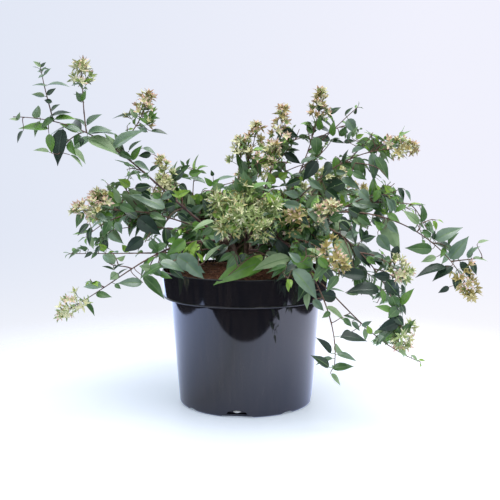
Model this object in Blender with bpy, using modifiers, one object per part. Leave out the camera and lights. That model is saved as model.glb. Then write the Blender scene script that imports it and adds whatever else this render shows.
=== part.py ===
"""Glossy abelia in a round nursery pot: the pot, the growing medium, the stems, their boughs and
the masses of foliage that the boughs carry.

Metres, +Z up. The origin is the centre of the pot's flat underside, and the side that the
plant is usually seen from faces -Y.
"""

import math
import random
from collections import namedtuple

import bmesh
import bpy
from mathutils import Matrix, Vector
from mathutils.bvhtree import BVHTree

MM = 0.001
UP = Vector((0, 0, 1))
WELD = 0.002 * MM

# The pot: a five-litre nursery pot with a deep band round its mouth
POT_HEIGHT = 180 * MM
RIM_RADIUS = 112.5 * MM
BAND_FOOT_Z = 143.5 * MM
BAND_FOOT_RADIUS = 110.3 * MM
BAND_EDGE = 1.2 * MM
BODY_TOP_RADIUS = 100.7 * MM
BASE_RADIUS = 90 * MM
BASE_CORNER = 4 * MM
POT_WALL = 2 * MM
POT_SIDES = 40
DRAIN_COUNT = 8
DRAIN_WIDTH = 24 * MM
DRAIN_HEIGHT = 5 * MM
DRAIN_DEPTH = 16 * MM
FIRST_DRAIN_AZIMUTH = 261

# The growing medium: level in the middle, where the stems stand, and lower at the wall
MEDIUM_TOP_Z = 178 * MM
MEDIUM_EDGE_Z = 168 * MM
MEDIUM_FLAT_RADIUS = 40 * MM
GAP = 0.3 * MM

# The stems: a ring of them round the pot's middle
STEM_RING_RADIUS = 19 * MM
STEM_FOOT_RADIUS = 5.6 * MM
STEM_RADIUS = 3.9 * MM
STEM_TIP_RADIUS = 2.9 * MM
STEM_SIDES = 6
FLARE_HEIGHT = 7 * MM

# Boughs, twigs, leaves and blossom
BOUGH_RADIUS = 2.1 * MM
BOUGH_TIP_RADIUS = 1.3 * MM
BOUGH_SIDES = 6
BOUGH_STEP = 25 * MM
SPRAY_RADIUS = 1.35 * MM
SPRAY_TIP_RADIUS = 0.7 * MM
TWIG_RADIUS = 0.95 * MM
TWIG_TIP_RADIUS = 0.6 * MM
TWIG_STEP = 38 * MM
INTERNODE = 38 * MM
LEAF_LENGTH = 54 * MM
LEAF_TIP_LENGTH = 28 * MM
LEAF_WIDTH = 0.6
LEAF_WIDEST = 0.42
LEAF_THICKNESS = 1.3 * MM
LEAF_CLEARANCE = 0.7 * MM
LEAF_SPREAD = (48, 72)
LEAF_DROOP = (0.12, 0.42)
LEAF_TILT = (-38, 38)
ROOT_SINK = 0.4 * MM
FLORET_LENGTH = 18 * MM
FLORET_WIDTH = 7.5 * MM
FLORET_WIDEST = 0.7
FLORETS = 3
FLORET_SPREAD = 68
FLORET_TURN = 137.5
PANICLE = 20 * MM
EXTRA_TWIG_LENGTH = 52 * MM
SPACE = 5 * MM

Stem = namedtuple("Stem", "name azimuth lean height")
STEMS = [
    Stem("left", 186, 27 * MM, 54 * MM),
    Stem("left_front", 230, 24 * MM, 44 * MM),
    Stem("front", 272, 24 * MM, 46 * MM),
    Stem("right_front", 312, 26 * MM, 50 * MM),
    Stem("right_low", 348, 27 * MM, 52 * MM),
    Stem("right", 26, 26 * MM, 62 * MM),
    Stem("back_right", 76, 24 * MM, 60 * MM),
    Stem("back_left", 132, 26 * MM, 56 * MM),
]

# A shoot springs from its stem at "fork", a share of the stem's length, and arches to its tip,
# given in millimetres. It sets out "rise" degrees above level and ends "fall" degrees above
# level. The first share of it, "bare", is its bough, and the rest bears the foliage: its own
# leaves, the twigs listed with it, and "extra" twigs more, placed by the seed.
Shoot = namedtuple("Shoot", "name stem fork tip rise fall bare ends extra seed twigs")
# A twig leaves the leafy part of its shoot at share "at" and arches to its own tip in the same way.
Twig = namedtuple("Twig", "at tip rise fall ends")
SHOOTS = [
    Shoot("upper_left", "left", 0.97, (-286, -80, 379), 37, 0, 0.42, "leaves", 0, 3, [
        Twig(0.22, (-128, -20, 402), 40, 70, "blossom"),
        Twig(0.48, (-207, -50, 430), 80, 85, "blossom"),
        Twig(0.74, (-256, -60, 443), 75, 80, "leaves"),
        Twig(0.50, (-232, -70, 335), -20, -60, "leaves")]),
    Shoot("left_crest", "back_left", 0.44, (-114, 26, 318), 38, 75, 0.26, "blossom", 1, 5, [
        Twig(0.35, (-66, 44, 312), 30, 30, "leaves")]),
    Shoot("left_middle", "left", 0.78, (-208, -62, 262), 26, -2, 0.24, "blossom", 1, 7, [
        Twig(0.40, (-165, -24, 297), 20, 40, "leaves"),
        Twig(0.52, (-200, -72, 230), -15, -40, "leaves"),
        Twig(0.70, (-188, -46, 276), 20, 50, "blossom"),
        Twig(0.76, (-232, -66, 252), 0, 5, "blossom")]),
    Shoot("left_low", "left", 0.36, (-224, -60, 207), 3, 2, 0.4, "leaves", 0, 9, []),
    Shoot("left_inner", "left", 0.56, (-186, -34, 232), 20, -14, 0.2, "leaves", 2, 11, [
        Twig(0.45, (-128, -62, 222), 5, -30, "leaves")]),
    Shoot("lower_left", "left_front", 0.9, (-222, -92, 150), 8, -24, 0.42, "blossom", 0, 13, [
        Twig(0.30, (-172, -74, 196), 30, 30, "leaves"),
        Twig(0.62, (-194, -88, 178), 40, 70, "leaves")]),
    Shoot("top_left", "back_left", 0.99, (14, 22, 365), 74, 80, 0.2, "blossom", 1, 15, [
        Twig(0.45, (-8, 26, 344), 60, 80, "blossom"),
        Twig(0.50, (36, 2, 338), 45, 75, "blossom")]),
    Shoot("top_middle", "back_right", 0.95, (50, 40, 388), 74, 84, 0.22, "blossom", 1, 17, [
        Twig(0.40, (74, 46, 368), 45, 70, "leaves"),
        Twig(0.20, (92, 32, 322), 30, 10, "leaves")]),
    Shoot("top_right", "right", 0.97, (100, 12, 408), 64, 82, 0.22, "blossom", 1, 19, [
        Twig(0.30, (116, 22, 352), 40, 60, "leaves"),
        Twig(0.50, (150, 12, 396), 35, 40, "leaves"),
        Twig(0.62, (140, 8, 372), 10, 0, "leaves")]),
    Shoot("right_crest", "right", 0.68, (214, -20, 340), 50, -4, 0.24, "blossom", 2, 21, [
        Twig(0.30, (132, 4, 330), 50, 60, "leaves"),
        Twig(0.55, (168, -8, 362), 50, 60, "leaves"),
        Twig(0.50, (182, -32, 306), -10, -50, "leaves")]),
    Shoot("right_middle", "right_low", 0.6, (232, -30, 266), 34, -10, 0.22, "leaves", 2, 23, [
        Twig(0.35, (178, -50, 282), 20, 0, "leaves"),
        Twig(0.55, (206, -2, 288), 20, 30, "leaves")]),
    Shoot("right_far", "right_low", 0.94, (284, -80, 172), 36, -62, 0.32, "blossom", 1, 25, [
        Twig(0.62, (300, -66, 240), 10, 25, "leaves"),
        Twig(0.78, (311, -80, 200), 10, 10, "blossom")]),
    Shoot("right_hanging", "right_front", 0.94, (190, -130, 108), 52, -88, 0.3, "blossom", 1, 27, [
        Twig(0.20, (134, -118, 192), 0, -50, "leaves"),
        Twig(0.40, (200, -122, 192), 0, -20, "blossom")]),
    Shoot("right_trailing", "front", 0.56, (200, -152, 96), 8, -20, 0.42, "blossom", 0, 29, []),
    Shoot("front_hanging", "front", 0.74, (106, -152, 84), 46, -99, 0.44, "blossom", 0, 31, []),
    Shoot("front_middle", "front", 0.99, (-6, -152, 262), 50, -14, 0.0, "blossom", 1, 33, [
        Twig(0.30, (-34, -122, 274), 25, 50, "blossom"),
        Twig(0.35, (30, -124, 268), 25, 50, "blossom"),
        Twig(0.50, (0, -116, 288), 50, 80, "blossom"),
        Twig(0.60, (-24, -146, 246), 0, 0, "blossom"),
        Twig(0.65, (22, -150, 244), 0, 0, "blossom")]),
    Shoot("front_right", "right_front", 0.72, (104, -100, 266), 42, 40, 0.0, "blossom", 1, 35, [
        Twig(0.40, (60, -112, 256), 25, 30, "blossom")]),
    Shoot("front_right_low", "right_front", 0.36, (110, -152, 204), 34, -30, 0.24, "blossom", 1, 37, [
        Twig(0.50, (72, -150, 214), 20, 10, "blossom")]),
    Shoot("front_left_low", "left_front", 0.42, (-100, -116, 198), 26, -14, 0.0, "leaves", 1, 39, [
        Twig(0.45, (-56, -134, 200), 10, -10, "leaves")]),
    Shoot("front_low", "front", 0.36, (50, -148, 188), 28, -16, 0.0, "leaves", 1, 41, [
        Twig(0.40, (-20, -140, 190), 10, -20, "leaves")]),
    Shoot("back_far_left", "back_left", 0.76, (-216, 84, 244), 34, -14, 0.22, "blossom", 1, 55, [
        Twig(0.45, (-190, 40, 262), 10, 10, "leaves"),
        Twig(0.60, (-190, 120, 236), 0, -10, "leaves")]),
    Shoot("back_left", "back_left", 0.52, (-160, 150, 262), 34, -12, 0.22, "blossom", 2, 43, [
        Twig(0.40, (-120, 120, 290), 30, 50, "leaves")]),
    Shoot("back_middle", "back_right", 0.6, (-8, 222, 284), 56, -14, 0.22, "blossom", 2, 45, [
        Twig(0.35, (30, 160, 318), 50, 60, "blossom"),
        Twig(0.50, (-50, 190, 290), 20, 20, "leaves")]),
    Shoot("back_right", "back_right", 0.44, (172, 140, 276), 44, -8, 0.22, "blossom", 1, 47, [
        Twig(0.40, (120, 130, 306), 40, 50, "leaves"),
        Twig(0.50, (206, 72, 264), 10, -10, "leaves")]),
    Shoot("back_left_low", "back_left", 0.34, (-92, 212, 168), 32, -52, 0.22, "leaves", 2, 49, []),
    Shoot("back_right_low", "back_right", 0.28, (112, 208, 172), 32, -50, 0.22, "leaves", 2, 51, []),
    Shoot("back_hanging", "back_left", 0.2, (-6, 236, 116), 34, -84, 0.22, "blossom", 1, 53, []),
]


def direction(azimuth, elevation):
    """Unit vector that points along a compass azimuth (0 is +X, 90 is +Y) and up by an elevation."""
    a = math.radians(azimuth)
    e = math.radians(elevation)
    return Vector((math.cos(a) * math.cos(e), math.sin(a) * math.cos(e), math.sin(e)))


def arch(start, tip, rise, fall, pull=0.4):
    """Cubic curve, as four control points, that leaves start at rise degrees and ends at fall degrees."""
    across = tip - start
    azimuth = math.degrees(math.atan2(across.y, across.x))
    reach = across.length * pull
    return (start, start + direction(azimuth, rise) * reach, tip - direction(azimuth, fall) * reach, tip)


def point_on(curve, t):
    """Point of a cubic curve at share t."""
    a, b, c, d = curve
    u = 1 - t
    return a * u ** 3 + b * (3 * u * u * t) + c * (3 * u * t * t) + d * t ** 3


def heading_on(curve, t):
    """Unit direction of travel of a cubic curve at share t."""
    a, b, c, d = curve
    u = 1 - t
    return ((b - a) * (u * u) + (c - b) * (2 * u * t) + (d - c) * (t * t)).normalized()


def stem_curve(stem):
    """A stem stands upright at its flat foot and leans outwards to its tip."""
    out = direction(stem.azimuth, 0)
    foot = out * STEM_RING_RADIUS + UP * (MEDIUM_TOP_Z + GAP)
    tip = foot + out * stem.lean + UP * stem.height
    return (foot, foot + UP * stem.height * 0.4, tip - (out * 0.7 + UP * 0.7) * stem.height * 0.3, tip)


STEM_CURVES = {stem.name: stem_curve(stem) for stem in STEMS}


def shoot_curve(shoot):
    """A shoot's whole arch, from the middle of its stem to its tip."""
    start = point_on(STEM_CURVES[shoot.stem], shoot.fork)
    return arch(start, Vector(shoot.tip) * MM, shoot.rise, shoot.fall)


def twig_curve(shoot, twig):
    """A twig's arch, from the leafy part of its shoot to its own tip."""
    start = point_on(shoot_curve(shoot), shoot.bare + (1 - shoot.bare) * twig.at)
    return arch(start, Vector(twig.tip) * MM, twig.rise, twig.fall)


def new_collection(name):
    """A collection linked to the scene."""
    collection = bpy.data.collections.new(name)
    bpy.context.scene.collection.children.link(collection)
    return collection


def mesh_object(name, bm, collection):
    """Object made from a bmesh, which is freed."""
    bmesh.ops.recalc_face_normals(bm, faces=bm.faces)
    mesh = bpy.data.meshes.new(name)
    bm.to_mesh(mesh)
    bm.free()
    obj = bpy.data.objects.new(name, mesh)
    collection.objects.link(obj)
    return obj


def settle(obj, weld=True):
    """Applies an object's modifiers, or turns a curve into a mesh, in a new object of the same name."""
    name = obj.name
    collection = obj.users_collection[0]
    evaluated = obj.evaluated_get(bpy.context.evaluated_depsgraph_get())
    mesh = bpy.data.meshes.new_from_object(evaluated)
    matrix = obj.matrix_world.copy()
    bpy.data.objects.remove(obj)
    bm = bmesh.new()
    bm.from_mesh(mesh)
    bpy.data.meshes.remove(mesh)
    if weld:
        bmesh.ops.remove_doubles(bm, verts=bm.verts, dist=WELD)
    settled = mesh_object(name, bm, collection)
    settled.matrix_world = matrix
    return settled


def tube(name, points, radii, sides, collection):
    """Round tube of the given number of sides through points, with a radius at each and flat ends."""
    data = bpy.data.curves.new(name, "CURVE")
    data.dimensions = "3D"
    data.bevel_mode = "ROUND"
    data.bevel_depth = radii[0]
    data.bevel_resolution = (sides - 4) // 2
    data.use_fill_caps = True
    fill_spline(data, points, [r / radii[0] for r in radii])
    obj = bpy.data.objects.new(name, data)
    collection.objects.link(obj)
    return settle(obj)


def twig_tube(name, points, radii, collection):
    """Three-sided tube through points, with a radius at each and flat ends."""
    data = bpy.data.curves.new(name, "CURVE")
    data.dimensions = "3D"
    data.bevel_mode = "OBJECT"
    data.bevel_object = bpy.data.objects["twig_section"]
    data.use_fill_caps = True
    fill_spline(data, points, radii)
    obj = bpy.data.objects.new(name, data)
    collection.objects.link(obj)
    return settle(obj)


def fill_spline(data, points, radii):
    """Gives a curve one straight-run spline through points."""
    spline = data.splines.new("POLY")
    spline.points.add(len(points) - 1)
    for knot, point, radius in zip(spline.points, points, radii):
        knot.co = (*point, 1)
        knot.radius = radius


def twig_section(collection):
    """Triangle of one metre radius that the twigs' curves are swept with."""
    data = bpy.data.curves.new("twig_section", "CURVE")
    data.dimensions = "2D"
    corners = [(math.cos(a), math.sin(a), 0) for a in (0, math.radians(120), math.radians(240))]
    fill_spline(data, corners, [1, 1, 1])
    data.splines[0].use_cyclic_u = True
    obj = bpy.data.objects.new("twig_section", data)
    obj.hide_render = True
    obj.display_type = "WIRE"
    collection.objects.link(obj)
    return obj


def boolean(obj, operation, other, solver="EXACT"):
    """Joins an object with, or cuts it by, another object or a collection, and applies it."""
    modifier = obj.modifiers.new(operation.lower(), "BOOLEAN")
    modifier.operation = operation
    modifier.solver = solver
    if isinstance(other, bpy.types.Collection):
        modifier.operand_type = "COLLECTION"
        modifier.collection = other
    else:
        modifier.object = other
    return settle(obj, weld=False)


def is_closed(obj):
    """Whether every edge of an object's mesh lies between two faces."""
    bm = bmesh.new()
    bm.from_mesh(obj.data)
    closed = all(edge.is_manifold for edge in bm.edges)
    bm.free()
    return closed


def union(obj, pieces):
    """Joins a collection's pieces to an object, by the MANIFOLD solver where EXACT leaves it open."""
    spare = obj.copy()
    spare.data = obj.data.copy()
    obj.users_collection[0].objects.link(spare)
    name = obj.name
    joined = largest_body(boolean(obj, "UNION", pieces))
    if is_closed(joined):
        bpy.data.objects.remove(spare)
        return joined
    bpy.data.objects.remove(joined)
    spare.name = name
    return largest_body(boolean(spare, "UNION", pieces, "MANIFOLD"))


def turned(name, profile, collection):
    """Surface turned about Z from a profile that runs down its outer side, top to bottom."""
    bm = bmesh.new()
    knots = [bm.verts.new((radius, 0, z)) for radius, z in profile]
    for upper, lower in zip(knots, knots[1:]):
        bm.edges.new((upper, lower))
    mesh = bpy.data.meshes.new(name)
    bm.to_mesh(mesh)
    bm.free()
    obj = bpy.data.objects.new(name, mesh)
    collection.objects.link(obj)
    screw = obj.modifiers.new("turn", "SCREW")
    screw.steps = POT_SIDES
    screw.render_steps = POT_SIDES
    screw.use_merge_vertices = True
    screw.merge_threshold = 10 * WELD
    return obj


def pot(collection, cutters):
    """The pot's shell, with a band round its mouth and drain holes through its bottom corner."""
    profile = [
        (RIM_RADIUS, POT_HEIGHT),
        (BAND_FOOT_RADIUS, BAND_FOOT_Z + BAND_EDGE),
        (BAND_FOOT_RADIUS - BAND_EDGE, BAND_FOOT_Z),
        (BODY_TOP_RADIUS, BAND_FOOT_Z),
        (BASE_RADIUS, BASE_CORNER),
        (BASE_RADIUS - BASE_CORNER, 0),
        (0, 0),
    ]
    obj = turned("pot", profile, collection)
    shell = obj.modifiers.new("wall", "SOLIDIFY")
    shell.thickness = POT_WALL
    shell.offset = -1
    shell.use_even_offset = True
    obj = settle(obj)
    for i in range(DRAIN_COUNT):
        azimuth = FIRST_DRAIN_AZIMUTH + i * 360 / DRAIN_COUNT
        bm = bmesh.new()
        size = Matrix.Diagonal((DRAIN_DEPTH, DRAIN_WIDTH, DRAIN_HEIGHT * 2, 1))
        place = Matrix.Rotation(math.radians(azimuth), 4, "Z") @ Matrix.Translation((BASE_RADIUS, 0, 0))
        bmesh.ops.create_cube(bm, size=1, matrix=place @ size)
        obj = boolean(obj, "DIFFERENCE", mesh_object(f"drain_{i}", bm, cutters))
    return obj


def growing_medium(collection):
    """The root ball: it fills the pot, a hair clear of its wall and floor."""
    slope = (BODY_TOP_RADIUS - BASE_RADIUS) / (BAND_FOOT_Z - BASE_CORNER)
    ledge_z = BAND_FOOT_Z + POT_WALL + GAP
    inner_top = BODY_TOP_RADIUS - POT_WALL - 2 * GAP
    inner_foot = BASE_RADIUS - POT_WALL - 2 * GAP
    band_inner = BAND_FOOT_RADIUS - POT_WALL - 2 * GAP
    profile = [
        (0, MEDIUM_TOP_Z),
        (MEDIUM_FLAT_RADIUS, MEDIUM_TOP_Z),
        (band_inner * 0.75, (MEDIUM_TOP_Z + MEDIUM_EDGE_Z) / 2),
        (band_inner, MEDIUM_EDGE_Z),
        (band_inner, ledge_z + 2 * MM),
        (band_inner - 2 * MM, ledge_z),
        (inner_top + slope * POT_WALL, ledge_z),
        (inner_foot, BASE_CORNER + POT_WALL),
        (inner_foot - BASE_CORNER, POT_WALL + GAP),
        (0, POT_WALL + GAP),
    ]
    return settle(turned("growing_medium", profile, collection))


def shares(curve, begin, end, step):
    """Evenly spaced shares of a curve from begin to end, about step apart along it."""
    count = max(2, round((point_on(curve, end) - point_on(curve, begin)).length / step) + 1)
    return [begin + (end - begin) * i / (count - 1) for i in range(count)]


def taper(ts, thick, thin):
    """Radii that run evenly from thick to thin over the shares ts."""
    return [thick + (thin - thick) * (t - ts[0]) / (ts[-1] - ts[0]) for t in ts]


def stem_radii(ts, stem, clearance):
    """A stem's radii: a root flare at the foot, then a steady taper to the fork."""
    radii = []
    for t in ts:
        flare = max(0, 1 - t * stem.height / FLARE_HEIGHT) ** 2 * (STEM_FOOT_RADIUS - STEM_RADIUS)
        radii.append(STEM_RADIUS + (STEM_TIP_RADIUS - STEM_RADIUS) * t + flare + clearance)
    return radii


def stem_tube(name, stem, clearance, collection):
    """A stem, or with a clearance the slightly larger shape that its boughs are cut back to."""
    curve = STEM_CURVES[stem.name]
    ts = [0, 0.05, 0.12, 0.3, 0.5, 0.75, 1]
    points = [point_on(curve, t) for t in ts]
    points[1] = points[0] + UP * (points[1] - points[0]).length
    radii = stem_radii(ts, stem, clearance)
    if clearance:
        ts.append(1.01)
        points.append(points[-1] + heading_on(curve, 1) * clearance)
        radii.append(radii[-1])
    return tube(name, points, radii, STEM_SIDES, collection)


def bough(shoot, collection, jackets):
    """The bare first part of a shoot, cut back to just clear of its stem."""
    curve = shoot_curve(shoot)
    ts = shares(curve, 0, shoot.bare, BOUGH_STEP)
    radii = taper(ts, BOUGH_RADIUS, BOUGH_TIP_RADIUS)
    points = [point_on(curve, t) for t in ts]
    points[-2] = points[-1] - heading_on(curve, shoot.bare) * (points[-1] - points[-2]).length
    obj = tube("bough_" + shoot.name, points, radii, BOUGH_SIDES, collection)
    return boolean(obj, "DIFFERENCE", jackets[shoot.stem])


def blade(root, along, face, length, width, thickness, widest):
    """Slim eight-sided blade from its root along a direction, flat side to "face", as a bmesh."""
    side = along.cross(face).normalized()
    bm = bmesh.new()
    bmesh.ops.create_uvsphere(bm, u_segments=4, v_segments=2, radius=1)
    for vertex in bm.verts:
        x, y, z = vertex.co
        share = widest if abs(z) < 0.5 else (z + 1) / 2
        vertex.co = root + along * length * share + side * x * width / 2 + face * y * thickness / 2
    return bm


def side_of(heading, roll):
    """Direction square to a twig's heading, rolled about it from level by an angle in degrees."""
    level = heading.cross(UP)
    if level.length < 0.25:
        level = heading.cross(Vector((0, 1, 0)))
    level.normalize()
    lift = level.cross(heading)
    return level * math.cos(math.radians(roll)) + lift * math.sin(math.radians(roll))


def facing(along, tilt):
    """Upward direction square to a leaf, tilted about it by an angle in degrees."""
    face = UP - along * along.dot(UP)
    if face.length < 0.3:
        face = Vector((0, -1, 0)) - along * -along.y
    face.normalize()
    return Matrix.Rotation(math.radians(tilt), 3, along) @ face


class Growth:
    """What the foliage has to stay clear of: one search tree for each solid so far."""

    def __init__(self):
        self.trees = {}

    def add(self, name, obj):
        points = [obj.matrix_world @ v.co for v in obj.data.vertices]
        self.trees[name] = BVHTree.FromPolygons(points, [tuple(p.vertices) for p in obj.data.polygons])

    def hits(self, vertices, faces, own):
        probe = BVHTree.FromPolygons(vertices, faces)
        return any(tree.overlap(probe) for name, tree in self.trees.items() if name not in own)


class Mass:
    """One mass of foliage: a stem with its twigs, leaves and blossom, joined into one solid."""

    def __init__(self, shoot, solids, jackets):
        self.shoot = shoot
        self.name = "foliage_" + shoot.name
        self.curve = shoot_curve(shoot)
        self.rng = random.Random(shoot.seed)
        length = (self.curve[3] - self.curve[0]).length
        self.begin = shoot.bare + (GAP * 1.2 / length if shoot.bare else 0)
        ts = shares(self.curve, self.begin, 1, TWIG_STEP)
        points = [point_on(self.curve, t) for t in ts]
        if shoot.bare:
            heading = heading_on(self.curve, shoot.bare)
            points[0] = point_on(self.curve, shoot.bare) + heading * GAP
            points[1] = points[0] + heading * (points[1] - points[0]).length
        self.stem = twig_tube(self.name, points, taper(ts, SPRAY_RADIUS, SPRAY_TIP_RADIUS), solids)
        if not shoot.bare:
            self.stem = boolean(self.stem, "DIFFERENCE", jackets[shoot.stem])

    def keep(self, bm, growth, others):
        """Keeps a twig or a blade as a piece of the mass if it stays clear and in its own space."""
        vertices = [v.co.copy() for v in bm.verts]
        centre = sum(vertices, Vector()) / len(vertices)
        wider = [v + (v - centre).normalized() * LEAF_CLEARANCE for v in vertices]
        faces = [tuple(v.index for v in f.verts) for f in bm.faces]
        crowded = any(tree.find_nearest(centre, SPACE)[0] for tree in others)
        if crowded or growth.hits(wider, faces, {self.name}):
            bm.free()
            return False
        mesh_object("piece", bm, self.pieces)
        return True

    def leaf(self, curve, t, side, size, growth, others):
        """One leaf on a twig at share t, leaning out to a side and hanging a little."""
        spread = math.radians(self.rng.uniform(*LEAF_SPREAD))
        along = heading_on(curve, t) * math.cos(spread) + side * math.sin(spread)
        along = (along - UP * self.rng.uniform(*LEAF_DROOP)).normalized()
        face = facing(along, self.rng.uniform(*LEAF_TILT))
        root = point_on(curve, t) - along * ROOT_SINK
        width = size * LEAF_WIDTH * self.rng.uniform(0.88, 1.08)
        self.keep(blade(root, along, face, size, width, LEAF_THICKNESS, LEAF_WIDEST), growth, others)

    def leaves(self, curve, begin, end, scale, growth, others):
        """Opposite pairs along a twig, each turned across the last, and smaller towards the tip."""
        ts = shares(curve, begin, end, INTERNODE)[1:]
        roll = self.rng.uniform(0, 40)
        for i, t in enumerate(ts):
            along = (i + 1) / len(ts)
            full = LEAF_LENGTH + (LEAF_TIP_LENGTH - LEAF_LENGTH) * along ** 2
            for half_turn in (0, 180):
                side = side_of(heading_on(curve, t), roll + half_turn + self.rng.uniform(-15, 15))
                self.leaf(curve, t, side, full * scale * self.rng.uniform(0.85, 1.15), growth, others)
            roll += self.rng.uniform(60, 90)

    def blossom(self, curve, growth, others):
        """Florets round the last stretch of a twig, the last of them straight on from its tip."""
        share = PANICLE / (curve[3] - curve[0]).length
        for i in range(FLORETS):
            outward = 1 - i / (FLORETS - 1)
            t = 1 - share * outward - 0.5 * share / FLORETS
            lean = math.radians(FLORET_SPREAD * outward ** 0.6)
            side = side_of(heading_on(curve, t), i * FLORET_TURN)
            along = heading_on(curve, t) * math.cos(lean) + side * math.sin(lean)
            root = point_on(curve, t) - along * ROOT_SINK
            size = FLORET_LENGTH * self.rng.uniform(0.85, 1.15)
            floret = blade(root, along, facing(along, 0), size, FLORET_WIDTH, FLORET_WIDTH, FLORET_WIDEST)
            self.keep(floret, growth, others)

    def twig(self, curve, ends, scale, growth, others):
        """A twig with its leaves and what it ends in."""
        ts = shares(curve, 0, 1, TWIG_STEP)
        points = [point_on(curve, t) for t in ts]
        wood = twig_tube("twig", points, taper(ts, TWIG_RADIUS, TWIG_TIP_RADIUS), self.pieces)
        bm = bmesh.new()
        bm.from_mesh(wood.data)
        bpy.data.objects.remove(wood)
        if not self.keep(bm, growth, others):
            return False
        self.dress(curve, 0, ends, scale, growth, others)
        return True

    def dress(self, curve, begin, ends, scale, growth, others):
        """Leaves along a stretch of stem or twig, then more leaves or blossom at its tip."""
        end = 1
        if ends == "blossom":
            end = 1 - PANICLE / (curve[3] - curve[0]).length
            self.blossom(curve, growth, others)
        self.leaves(curve, begin, end, scale, growth, others)

    def extra_curves(self):
        """Arches of the twigs that the seed places, between the mass's own foot and its tip."""
        for i in range(self.shoot.extra):
            t = self.begin + (1 - self.begin) * (i + self.rng.uniform(0.25, 0.75)) / (self.shoot.extra + 0.6)
            start = point_on(self.curve, t)
            side = side_of(heading_on(self.curve, t), self.rng.choice((0, 180)) + self.rng.uniform(-20, 60))
            out = (heading_on(self.curve, t) * 0.7 + side).normalized()
            length = EXTRA_TWIG_LENGTH * self.rng.uniform(0.7, 1.2)
            tip = start + out * length + UP * self.rng.uniform(-0.2, 0.4) * length
            lift = math.degrees(math.asin(out.z))
            yield arch(start, tip, lift, lift + self.rng.uniform(-25, 30))

    def grow(self, growth, others):
        """Grows the twigs, leaves and blossom on the stem and joins them to it."""
        self.pieces = new_collection("pieces_" + self.shoot.name)
        missing = []
        for twig in self.shoot.twigs:
            if not self.twig(twig_curve(self.shoot, twig), twig.ends, 0.8, growth, others):
                missing.append(twig)
        for curve in self.extra_curves():
            self.twig(curve, self.rng.choice(("leaves", "leaves", "blossom")), 0.85, growth, others)
        self.dress(self.curve, self.begin, self.shoot.ends, 1, growth, others)
        self.stem = union(self.stem, self.pieces)
        for piece in list(self.pieces.objects):
            bpy.data.objects.remove(piece)
        bpy.data.collections.remove(self.pieces)
        growth.add(self.name, self.stem)
        return missing


def largest_body(obj):
    """Keeps an object's largest closed shell, without loose scraps or sealed hollows."""
    bm = bmesh.new()
    bm.from_mesh(obj.data)
    left = set(bm.verts)
    shells = []
    while left:
        seed = left.pop()
        shell = {seed}
        edge = [seed]
        while edge:
            vertex = edge.pop()
            for link in vertex.link_edges:
                other = link.other_vert(vertex)
                if other in left:
                    left.remove(other)
                    shell.add(other)
                    edge.append(other)
        shells.append(shell)
    shells.sort(key=len)
    bmesh.ops.delete(bm, geom=[v for shell in shells[:-1] for v in shell], context="VERTS")
    bm.to_mesh(obj.data)
    bm.free()
    return obj


def paint(obj, name, colour, roughness):
    """Gives an object a material, made once for each name, and smooth shading where it is round."""
    material = bpy.data.materials.get(name)
    if material is None:
        material = bpy.data.materials.new(name)
        material.use_nodes = True
        shader = material.node_tree.nodes["Principled BSDF"]
        shader.inputs["Base Color"].default_value = (*colour, 1)
        shader.inputs["Roughness"].default_value = roughness
        shader.inputs["Metallic"].default_value = 0
    obj.data.materials.clear()
    obj.data.materials.append(material)
    obj.data.shade_smooth()
    obj.data.set_sharp_from_angle(angle=math.radians(35))


def build():
    """Makes the whole plant and its pot."""
    for obj in list(bpy.data.objects):
        bpy.data.objects.remove(obj)
    solids = new_collection("glossy_abelia")
    cutters = new_collection("cutters")
    twig_section(cutters)
    growth = Growth()

    vessel = pot(solids, cutters)
    paint(vessel, "black_plastic", (0.012, 0.012, 0.016), 0.2)
    growth.add("pot", vessel)
    medium = growing_medium(solids)
    paint(medium, "growing_medium", (0.09, 0.035, 0.018), 0.95)
    growth.add("growing_medium", medium)

    jackets = {}
    for stem in STEMS:
        wood = stem_tube("stem_" + stem.name, stem, 0, solids)
        paint(wood, "bark", (0.07, 0.04, 0.03), 0.7)
        growth.add(wood.name, wood)
        jackets[stem.name] = stem_tube("jacket_" + stem.name, stem, GAP, cutters)
    for shoot in SHOOTS:
        if shoot.bare:
            wood = bough(shoot, solids, jackets)
            paint(wood, "bark", (0.07, 0.04, 0.03), 0.7)
            growth.add(wood.name, wood)

    masses = [Mass(shoot, solids, jackets) for shoot in SHOOTS]
    for mass in masses:
        growth.add(mass.name, mass.stem)
    clear = {mass.name: growth.trees[mass.name] for mass in masses}
    for mass in masses:
        others = [tree for name, tree in clear.items() if name != mass.name]
        missing = mass.grow(growth, others)
        paint(mass.stem, "foliage", (0.045, 0.13, 0.04), 0.45)
        if missing:
            print(mass.name, "left out", missing)
    for obj in list(cutters.objects):
        bpy.data.objects.remove(obj)
    bpy.data.collections.remove(cutters)


build()
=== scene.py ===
"""Looks of a glossy abelia in its nursery pot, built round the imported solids.

Metres, +Z up. The origin is the middle of the pot's flat underside, and the side that the plant is
usually seen from faces -Y.
"""

import math
import random
from collections import namedtuple

import bpy
import numpy as np
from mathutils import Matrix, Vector, noise
from mathutils.bvhtree import BVHTree


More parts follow.
